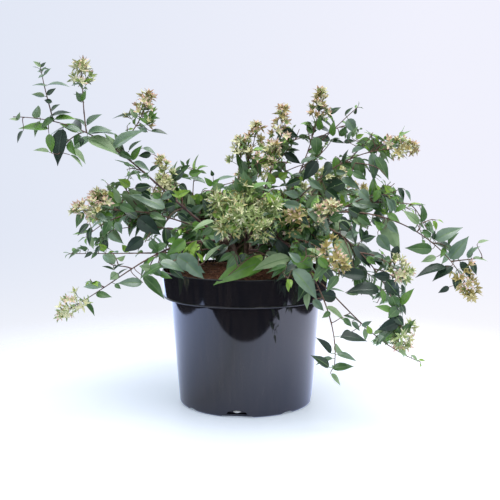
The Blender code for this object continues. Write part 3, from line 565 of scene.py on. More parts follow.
# A shoot springs from its stem at share "fork" and arches to its tip, in millimetres. It sets out
# "rise" degrees above level and ends "fall" degrees above level. Its first share, "bare", is the
# bough. It bears "sides" seeded side sprays besides the twigs listed with it, and leaves "leaf"
# millimetres long at most, "age" from 0, young and bright, to 1, old and dark.
Shoot = namedtuple("Shoot", "name stem fork tip rise fall bare ends seed sides leaf age twigs")
Twig = namedtuple("Twig", "at tip rise fall ends")
SHOOTS = [
    Shoot("upper_left", "left", 0.97, (-286, -80, 379), 37, 0, 0.42, "leaves", 3, 2, 34, 0.75, [
        Twig(0.22, (-128, -20, 402), 40, 70, "peach"),
        Twig(0.48, (-207, -50, 438), 80, 85, "pale"),
        Twig(0.74, (-256, -60, 443), 75, 80, "tuft"),
        Twig(0.50, (-232, -70, 335), -20, -60, "leaves")]),
    Shoot("left_crest", "back_left", 0.44, (-114, 26, 318), 38, 75, 0.26, "cream", 5, 7, 34, 0.6, [
        Twig(0.35, (-66, 44, 312), 30, 30, "leaves"),
        Twig(0.62, (-111, 14, 291), 50, 80, "cream")]),
    Shoot("left_middle", "left", 0.78, (-208, -62, 262), 26, -2, 0.24, "peach", 7, 8, 38, 0.7, [
        Twig(0.40, (-165, -24, 297), 20, 40, "leaves"),
        Twig(0.52, (-200, -72, 230), -15, -40, "leaves"),
        Twig(0.70, (-188, -46, 276), 20, 50, "peach")]),
    Shoot("left_low", "left", 0.36, (-224, -60, 207), 3, 2, 0.4, "tuft", 9, 1, 20, 0.4, []),
    Shoot("left_inner", "left", 0.56, (-186, -34, 232), 20, -14, 0.2, "leaves", 11, 7, 40, 0.8, [
        Twig(0.45, (-128, -62, 222), 5, -30, "leaves")]),
    Shoot("lower_left", "left_front", 0.9, (-224, -92, 139), 8, -26, 0.42, "pale", 13, 2, 40, 0.5, [
        Twig(0.30, (-172, -74, 196), 30, 30, "leaves"),
        Twig(0.62, (-194, -88, 178), 40, 70, "tuft")]),
    Shoot("top_left", "back_left", 0.99, (14, 22, 365), 74, 80, 0.2, "peach", 15, 7, 34, 0.6, [
        Twig(0.45, (-8, 26, 344), 60, 80, "cream"),
        Twig(0.50, (36, 2, 338), 45, 75, "peach")]),
    Shoot("top_middle", "back_right", 0.95, (50, 40, 388), 74, 84, 0.22, "peach", 17, 6, 34, 0.65, [
        Twig(0.40, (74, 46, 368), 45, 70, "leaves"),
        Twig(0.20, (92, 32, 322), 30, 10, "leaves")]),
    Shoot("top_right", "right", 0.97, (100, 12, 408), 64, 82, 0.22, "peach", 19, 6, 34, 0.64, [
        Twig(0.30, (116, 22, 352), 40, 60, "leaves"),
        Twig(0.50, (150, 12, 396), 35, 40, "tuft"),
        Twig(0.62, (140, 8, 372), 10, 0, "leaves")]),
    Shoot("right_crest", "right", 0.68, (214, -20, 340), 50, -4, 0.24, "peach", 21, 9, 38, 0.62, [
        Twig(0.30, (132, 4, 330), 50, 60, "leaves"),
        Twig(0.55, (168, -8, 362), 50, 60, "tuft"),
        Twig(0.50, (182, -32, 306), -10, -50, "leaves")]),
    Shoot("right_middle", "right_low", 0.6, (232, -30, 266), 34, -10, 0.22, "leaves", 23, 9, 38, 0.62, [
        Twig(0.35, (178, -50, 282), 20, 0, "leaves"),
        Twig(0.55, (206, -2, 288), 20, 30, "leaves")]),
    Shoot("right_far", "right_low", 0.94, (283, -80, 160), 36, -66, 0.32, "golden", 25, 4, 44, 1.0, [
        Twig(0.62, (262, -66, 216), 10, 0, "leaves"),
        Twig(0.78, (298, -80, 204), 10, 10, "tuft")]),
    Shoot("right_hanging", "right_front", 0.94, (190, -130, 108), 52, -88, 0.3, "pale", 27, 6, 38, 0.95, [
        Twig(0.20, (134, -118, 192), 0, -50, "leaves"),
        Twig(0.40, (190, -122, 190), 0, -30, "pale")]),
    Shoot("right_trailing", "front", 0.56, (208, -152, 88), 8, -14, 0.42, "tuft", 29, 1, 20, 0.4, []),
    Shoot("front_hanging", "front", 0.74, (106, -152, 84), 46, -99, 0.44, "tuft", 31, 1, 30, 0.95, []),
    Shoot("front_middle", "front", 0.99, (-6, -152, 262), 50, -14, 0.0, "green", 33, 6, 34, 0.6, [
        Twig(0.30, (-34, -122, 274), 25, 50, "green"),
        Twig(0.35, (30, -124, 268), 25, 50, "green"),
        Twig(0.50, (0, -116, 288), 50, 80, "green"),
        Twig(0.60, (-24, -146, 246), 0, 0, "green"),
        Twig(0.65, (22, -150, 244), 0, 0, "green")]),
    Shoot("front_right", "right_front", 0.72, (104, -100, 266), 42, 40, 0.0, "peach", 35, 8, 38, 0.6, [
        Twig(0.40, (60, -112, 256), 25, 30, "golden")]),
    Shoot("front_right_low", "right_front", 0.36, (110, -152, 204), 34, -30, 0.24, "golden", 37, 5, 38, 0.8, [
        Twig(0.50, (72, -150, 214), 20, 10, "leaves")]),
    Shoot("front_left_low", "left_front", 0.42, (-100, -116, 198), 26, -14, 0.0, "leaves", 39, 5, 38, 0.5, [
        Twig(0.45, (-56, -134, 200), 10, -10, "leaves")]),
    Shoot("front_low", "front", 0.36, (50, -148, 188), 28, -16, 0.0, "leaves", 41, 3, 44, 0.6, [
        Twig(0.40, (-20, -140, 190), 10, -20, "leaves")]),
    Shoot("back_far_left", "back_left", 0.76, (-216, 84, 244), 34, -14, 0.22, "peach", 55, 8, 38, 0.7, [
        Twig(0.45, (-190, 40, 262), 10, 10, "leaves"),
        Twig(0.60, (-190, 120, 236), 0, -10, "leaves")]),
    Shoot("back_left", "back_left", 0.52, (-160, 150, 262), 34, -12, 0.22, "cream", 43, 9, 38, 0.7, [
        Twig(0.40, (-120, 120, 290), 30, 50, "peach")]),
    Shoot("back_middle", "back_right", 0.6, (-8, 222, 284), 56, -14, 0.22, "peach", 45, 9, 38, 0.6, [
        Twig(0.35, (30, 160, 318), 50, 60, "cream"),
        Twig(0.50, (-50, 190, 290), 20, 20, "leaves")]),
    Shoot("back_right", "back_right", 0.44, (172, 140, 276), 44, -8, 0.22, "golden", 47, 9, 38, 0.7, [
        Twig(0.40, (120, 130, 306), 40, 50, "cream"),
        Twig(0.50, (206, 72, 264), 10, -10, "leaves")]),
    Shoot("back_left_low", "back_left", 0.34, (-92, 212, 168), 32, -52, 0.22, "leaves", 49, 6, 40, 0.8, []),
    Shoot("back_right_low", "back_right", 0.28, (112, 208, 172), 32, -50, 0.22, "cream", 51, 6, 40, 0.8, []),
    Shoot("back_hanging", "back_left", 0.2, (-6, 236, 116), 34, -84, 0.22, "peach", 53, 4, 36, 0.8, []),
]


def direction(azimuth, elevation):
    """Unit vector along a compass azimuth (0 is +X, 90 is +Y) and up by an elevation, in degrees."""
    a, e = math.radians(azimuth), math.radians(elevation)
    return np.array((math.cos(a) * math.cos(e), math.sin(a) * math.cos(e), math.sin(e)))


def arch(start, tip, rise, fall):
    """Cubic curve, as four points, that leaves start at rise degrees and ends at fall degrees."""
    across = tip - start
    azimuth = math.degrees(math.atan2(across[1], across[0]))
    reach = np.linalg.norm(across) * 0.4
    return start, start + direction(azimuth, rise) * reach, tip - direction(azimuth, fall) * reach, tip


def point_on(curve, t):
    """Point of a cubic curve at share t."""
    a, b, c, d = curve
    u = 1 - t
    return a * u ** 3 + b * (3 * u * u * t) + c * (3 * u * t * t) + d * t ** 3


def heading_on(curve, t):
    """Unit direction of travel of a cubic curve at share t."""
    a, b, c, d = curve
    u = 1 - t
    return unit((b - a) * (u * u) + (c - b) * (2 * u * t) + (d - c) * (t * t))


def length_of(curve, begin=0.0, end=1.0):
    """Length of a stretch of a cubic curve."""
    points = np.array([point_on(curve, begin + (end - begin) * i / 16) for i in range(17)])
    return float(np.linalg.norm(np.diff(points, axis=0), axis=1).sum())


def stem_curve(stem):
    """A stem stands upright at its flat foot and leans outwards to its tip."""
    out = direction(stem.azimuth, 0)
    foot = out * STEM_RING_RADIUS + UP * FOOT_Z
    tip = foot + out * stem.lean + UP * stem.height
    return foot, foot + UP * stem.height * 0.4, tip - (out * 0.7 + UP * 0.7) * stem.height * 0.3, tip


STEM_CURVES = {stem.name: stem_curve(stem) for stem in STEMS}


def shoot_curve(shoot):
    """A shoot's whole arch, from the middle of its stem to its tip."""
    fork = point_on(STEM_CURVES[shoot.stem], shoot.fork)
    return arch(fork, np.array(shoot.tip) * MM, shoot.rise, shoot.fall)


def bare_share(shoot):
    """The share of a shoot that bears nothing. One without a bough is bare as far as its stem hides it."""
    return shoot.bare if shoot.bare else UNSEEN_BARE


def wood_run(batch, curve, begin, end, thick, thin, sides, finish, relief, grain, step=2.5 * MM):
    """A limb along a stretch of a curve, tapered, and swollen at each pair of leaf scars."""
    length = length_of(curve, begin, end)
    count = max(4, round(length / step))
    ts = [begin + (end - begin) * i / count for i in range(count + 1)]
    radii = []
    for i in range(count + 1):
        along = i / count * length
        near = abs((along + NODE_SPACING / 2) % NODE_SPACING - NODE_SPACING / 2)
        swell = 1 + NODE_SWELL * math.exp(-(near / NODE_LENGTH) ** 2)
        radii.append((thick + (thin - thick) * i / count) * swell)
    tube(batch, [point_on(curve, t) for t in ts], radii, sides, finish, relief, grain)


def bark(name, dark, light, roughness):
    """Bark in small pale and dark patches."""
    return grained(name, dark, light, roughness, BARK_GRAIN, BARK_RELIEF)


old_bark = bark("old_bark", (0.06, 0.035, 0.025), (0.24, 0.17, 0.12), 0.8)
shoot_bark = bark("shoot_bark", (0.055, 0.022, 0.02), (0.16, 0.085, 0.07), 0.6)
twig_bark = bark("twig_bark", (0.10, 0.045, 0.035), (0.24, 0.14, 0.09), 0.55)
green_stalk = bark("green_stalk", (0.10, 0.14, 0.05), (0.2, 0.22, 0.09), 0.5)

for stem in STEMS:
    wood = Batch()
    ts = [i / STEM_STEPS for i in range(STEM_STEPS + 1)]
    curve = STEM_CURVES[stem.name]
    radii = []
    for t in ts:
        flare = max(0, 1 - t * stem.height / FLARE_HEIGHT) ** 2 * (STEM_FOOT_RADIUS - STEM_RADIUS)
        radii.append(STEM_RADIUS + (STEM_TIP_RADIUS - STEM_RADIUS) * t + flare)
    tube(wood, [point_on(curve, t) for t in ts], radii, STEM_SIDES, OLD_WOOD, STEM_RELIEF, STEM_GRAIN)
    nodes = ["stem_" + stem.name]
    for shoot in SHOOTS:
        if shoot.stem == stem.name:
            bough = shoot_curve(shoot)
            wood_run(wood, bough, 0, bare_share(shoot), BOUGH_RADIUS, BOUGH_TIP_RADIUS, *BOUGH_LOOK)
            if shoot.bare:
                nodes.append("bough_" + shoot.name)
    piece = wood.make("wood_" + stem.name, [old_bark, shoot_bark], sharp=None)
    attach(piece, "root")
    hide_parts(*nodes)

# Leaves
# Opposite pairs of glossy pointed leaves, each a thin blade on a short stalk: folded a little along
# a pale rib, arched over its length, and paler and duller underneath. Old leaves are darkest of the
# leaves' own colours; leaves in shade are darker still as painted shade, and some leaves carry a paler
# grey-blue painted sheen.
LEAF_STATIONS = np.array((0, 0.07, 0.2, 0.38, 0.58, 0.77, 0.91, 1.0))
LEAF_ACROSS = np.array((-1, -0.5, -0.07, 0.07, 0.5, 1))
LEAF_SHOULDER = 0.7
LEAF_TAPER = 1.35
LEAF_BULGE = 0.3
LEAF_THICKNESS = 0.3 * MM
LEAF_STALK = 3 * MM
LEAF_WIDTH = (0.41, 0.53)
LEAF_SCALE = 1.1
LEAF_SPACING = 17 * MM
LEAF_LEAN = (42, 74)
LEAF_DROOP = (-0.08, 0.5)
LEAF_BEND = (0.1, 0.95)
LEAF_FOLD = (0.1, 0.6)
LEAF_TWIST = (-0.4, 0.4)
FACE_UP = (0.45, 1.0)
FACE_OUT = (0.05, 0.95)
FACE_SCATTER = 0.28
AGE_SCATTER = 0.17
# Share of old and full leaves that take the painted sheen skin.
PAINTED_SHEEN_SHARE = 0.3
TUFT_GAP = 5 * MM
SPRAY_LENGTH = (38 * MM, 88 * MM)
SIDE_TWIG_LENGTH = (18 * MM, 40 * MM)
TWIG_RADIUS = 0.5 * MM
STALK_RADIUS = 0.4 * MM
LONG_STALK_RADIUS, SHORT_STALK_RADIUS = 0.65 * MM, 0.45 * MM
SPRAY_RADIUS, SIDE_TWIG_RADIUS = 0.95 * MM, 0.75 * MM
TWIG_RELIEF, TWIG_GRAIN, TWIG_STEP = 0.12, 500, 5 * MM
LEAF_RELIEF = (0.35, 0.5 * MM)
WAX_ROUGHNESS = 0.22
PAIR_PLACE = (0.35, 0.65)
PAIR_TURN = (70, 100)
PAIR_WOBBLE = 14
PAIR_SIZE = (0.8, 1.15)
PAIR_TAPER = 1.6
PAIR_YOUNGER = 0.25
TUFT_BARE = 0.35
BAND_CLEARANCE, WALL_CLEARANCE, MOUTH_CLEARANCE, TABLE_CLEARANCE = 2 * MM, 1 * MM, 0.8 * MM, 2 * MM
REACH = 11 * MM
TRIES = 6
LEAF_MARGIN = 10 * MM
TWIG_MARGIN = 12 * MM
OLD, FULL, PAINTED_SHEEN, GREEN, YOUNG, UNDER, RIB, PAINTED_SHADE = range(8)
AGES = ((OLD, 0.74), (FULL, 0.48), (GREEN, 0.21))
WOODY, STALKY = range(2)
MOTTLE_SCALES = {"Slow Scale": 90.0, "Fine Scale": 420.0}

# The camera, fitted to the photograph. Leaves that the photograph shows plainly are placed through it.
PICTURE = 500
CAMERA_PLACE = np.array((0.0058, -1.15, 0.33))
CAMERA_DIP = math.radians(6.2)
CAMERA_LENS = 61.8
CAMERA_SENSOR = 36
FOCAL = PICTURE * CAMERA_LENS / CAMERA_SENSOR
CAMERA_AHEAD = np.array((0, math.cos(CAMERA_DIP), -math.sin(CAMERA_DIP)))
CAMERA_UP = np.array((0, math.sin(CAMERA_DIP), math.cos(CAMERA_DIP)))


def mottle_group():
    """Slow and fine unevenness that every leaf shares: a shade from 0 to 1 and a height for relief."""
    inputs = {name: ("Float", scale) for name, scale in MOTTLE_SCALES.items()}
    tree, starts, ends = new_group("leaf_mottle", inputs, {"Shade": "Float", "Height": "Float"})
    place = add_node(tree, "ShaderNodeTexCoord").outputs["Object"]
    slow = noise_at(tree, place, starts.outputs["Slow Scale"], 3)
    fine = noise_at(tree, place, starts.outputs["Fine Scale"], 2)
    tree.links.new(stretch(tree, slow, 0.3, 0.7), ends.inputs["Shade"])
    tree.links.new(fine, ends.inputs["Height"])
    return tree


leaf_mottle = mottle_group()


def leaf_finish(name, dark, light, roughness, gloss):
    """Leaf skin between two shades, with a waxy coat and a faint puckered relief."""
    wax = {"coat_weight": gloss, "coat_roughness": WAX_ROUGHNESS}
    material, tree, shader = new_finish(name, dark, roughness, **wax)
    mottle = place_group(tree, leaf_mottle, MOTTLE_SCALES)
    tree.links.new(mix_colours(tree, mottle["Shade"], dark, light), shader.inputs["Base Color"])
    add_relief(tree, shader, mottle["Height"], *LEAF_RELIEF)
    return material


leaf_skins = [
    leaf_finish("old_leaf", (0.012, 0.037, 0.015), (0.030, 0.072, 0.030), 0.36, 0.4),
    leaf_finish("full_leaf", (0.047, 0.119, 0.032), (0.097, 0.200, 0.053), 0.38, 0.35),
    # Painted sheen: a paler grey-blue, glossier skin that stands in for the sky mirrored in glossy leaves.
    leaf_finish("painted_sheen_leaf", (0.106, 0.182, 0.110), (0.184, 0.274, 0.170), 0.3, 0.45),
    leaf_finish("green_leaf", (0.095, 0.230, 0.030), (0.165, 0.330, 0.052), 0.38, 0.3),
    leaf_finish("young_leaf", (0.210, 0.380, 0.035), (0.310, 0.490, 0.060), 0.4, 0.2),
    leaf_finish("leaf_underside", (0.220, 0.330, 0.150), (0.330, 0.440, 0.230), 0.55, 0.0),
    leaf_finish("leaf_rib", (0.110, 0.210, 0.070), (0.180, 0.290, 0.105), 0.4, 0.1),
    # Painted shade: a darker, duller copy of the old leaf's skin for leaves that sit in shade.
    leaf_finish("painted_shade_leaf", (0.006, 0.022, 0.011), (0.018, 0.048, 0.024), 0.5, 0.1),
]


def leaf_outline(share):
    """Half width of a leaf at a share of its length, against its widest."""
    widest = LEAF_SHOULDER / (LEAF_SHOULDER + LEAF_TAPER)
    full = widest ** LEAF_SHOULDER * (1 - widest) ** LEAF_TAPER
    return share ** LEAF_SHOULDER * (1 - share) ** LEAF_TAPER / full


Blade = namedtuple("Blade", "stations half across bulge")
LEAF = Blade(LEAF_STATIONS, np.maximum(leaf_outline(LEAF_STATIONS), 0.02), LEAF_ACROSS, LEAF_BULGE)


def blade_points(blade, root, along, face, length, width, bend, fold, twist):
    """A blade's upper points by station and place across, and the way that it faces at each station."""
    side = np.cross(along, face)
    angle = bend * blade.stations
    step = np.diff(blade.stations, prepend=0)
    ahead = np.cumsum(np.cos(angle) * step) * length
    drop = np.cumsum(np.sin(angle) * step) * length
    rib = root + np.outer(ahead, along) - np.outer(drop, face)
    normal = np.outer(np.cos(angle), face) + np.outer(np.sin(angle), along)
    turn = (twist * blade.stations)[:, None]
    level = side * np.cos(turn) + normal * np.sin(turn)
    normal = normal * np.cos(turn) - side * np.sin(turn)
    half = blade.half * width / 2
    rise = fold * np.abs(blade.across) + blade.bulge * np.abs(blade.across) * (1 - np.abs(blade.across))
    points = rib[:, None, :] + level[:, None, :] * np.outer(half, blade.across)[:, :, None]
    return points + normal[:, None, :] * np.outer(half, rise)[:, :, None], normal


def sheet_faces(rows, columns):
    """Corners of the quads of a grid of points."""
    return [(i * columns + j, i * columns + j + 1, (i + 1) * columns + j + 1, (i + 1) * columns + j)
            for i in range(rows - 1) for j in range(columns - 1)]


def leaf_faces():
    """Faces of a leaf's upper and lower sides, which share their margin, and each face's column."""
    rows, columns = len(LEAF_STATIONS), len(LEAF_ACROSS)
    upper = sheet_faces(rows, columns)
    below = {}
    for i in range(1, rows - 1):
        for j in range(1, columns - 1):
            below[i * columns + j] = rows * columns + len(below)
    lower = [tuple(below.get(k, k) for k in reversed(face)) for face in upper]
    rib = [i % (columns - 1) == (columns - 1) // 2 for i in range(len(upper))]
    return np.array(upper + lower), np.array(rib)


LEAF_FACES, ON_RIB = leaf_faces()


def add_leaf(batch, root, along, face, length, width, bend, fold, twist, kind):
    """One leaf, closed, with its upper side, rib and underside in their own finishes."""
    upper, normal = blade_points(LEAF, root, along, face, length, width, bend, fold, twist)
    lower = upper[1:-1, 1:-1] - normal[1:-1, None, :] * LEAF_THICKNESS
    points = np.concatenate((upper.reshape(-1, 3), lower.reshape(-1, 3)))
    # Leaves in painted shade keep an old leaf's dark rib.
    rib = OLD if kind == PAINTED_SHADE else RIB
    finish = np.concatenate((np.where(ON_RIB, rib, kind), np.full(len(ON_RIB), UNDER)))
    batch.add(points, LEAF_FACES, finish)


def clear(points):
    """Whether points keep out of the pot and the space in its mouth, and within the crown's reach."""
    points = np.asarray(points).reshape(-1, 3)
    radius = np.hypot(points[:, 0], points[:, 1])
    z = points[:, 2]
    beside = (z < POT_HEIGHT - BAND_DEPTH - BAND_CLEARANCE) & (radius > BODY_TOP_RADIUS + WALL_CLEARANCE)
    in_pot = (z < POT_HEIGHT + MOUTH_CLEARANCE) & (radius < RIM_RADIUS + WALL_CLEARANCE) & ~beside
    low, high = np.array(cad_low) - REACH, np.array(cad_high) + REACH
    low[2] = TABLE_CLEARANCE
    return not in_pot.any() and (points > low).all() and (points < high).all()


def side_of(heading, roll):
    """Direction square to a twig's heading, rolled about it from level by an angle in degrees."""
    level = np.cross(heading, UP)
    if np.linalg.norm(level) < 0.25:
        level = np.cross(heading, (0, 1, 0))
    level = unit(level)
    lift = np.cross(level, heading)
    return level * math.cos(math.radians(roll)) + lift * math.sin(math.radians(roll))


def pixels_of(points):
    """Where the photograph shows points: rows of columns right, rows down and depth from the camera."""
    away = np.atleast_2d(points) - CAMERA_PLACE
    depth = away @ CAMERA_AHEAD
    right = PICTURE / 2 + FOCAL * away[:, 0] / depth
    down = PICTURE / 2 - FOCAL * (away @ CAMERA_UP) / depth
    return np.stack((right, down, depth), axis=1)


def point_behind(pixel, y):
    """The point that the photograph shows at a pixel, on the upright plane at y."""
    right = np.array((pixel[0] - PICTURE / 2, 0, 0))
    ray = CAMERA_AHEAD * FOCAL + right - CAMERA_UP * (pixel[1] - PICTURE / 2)
    return CAMERA_PLACE + ray * ((y - CAMERA_PLACE[1]) / ray[1])
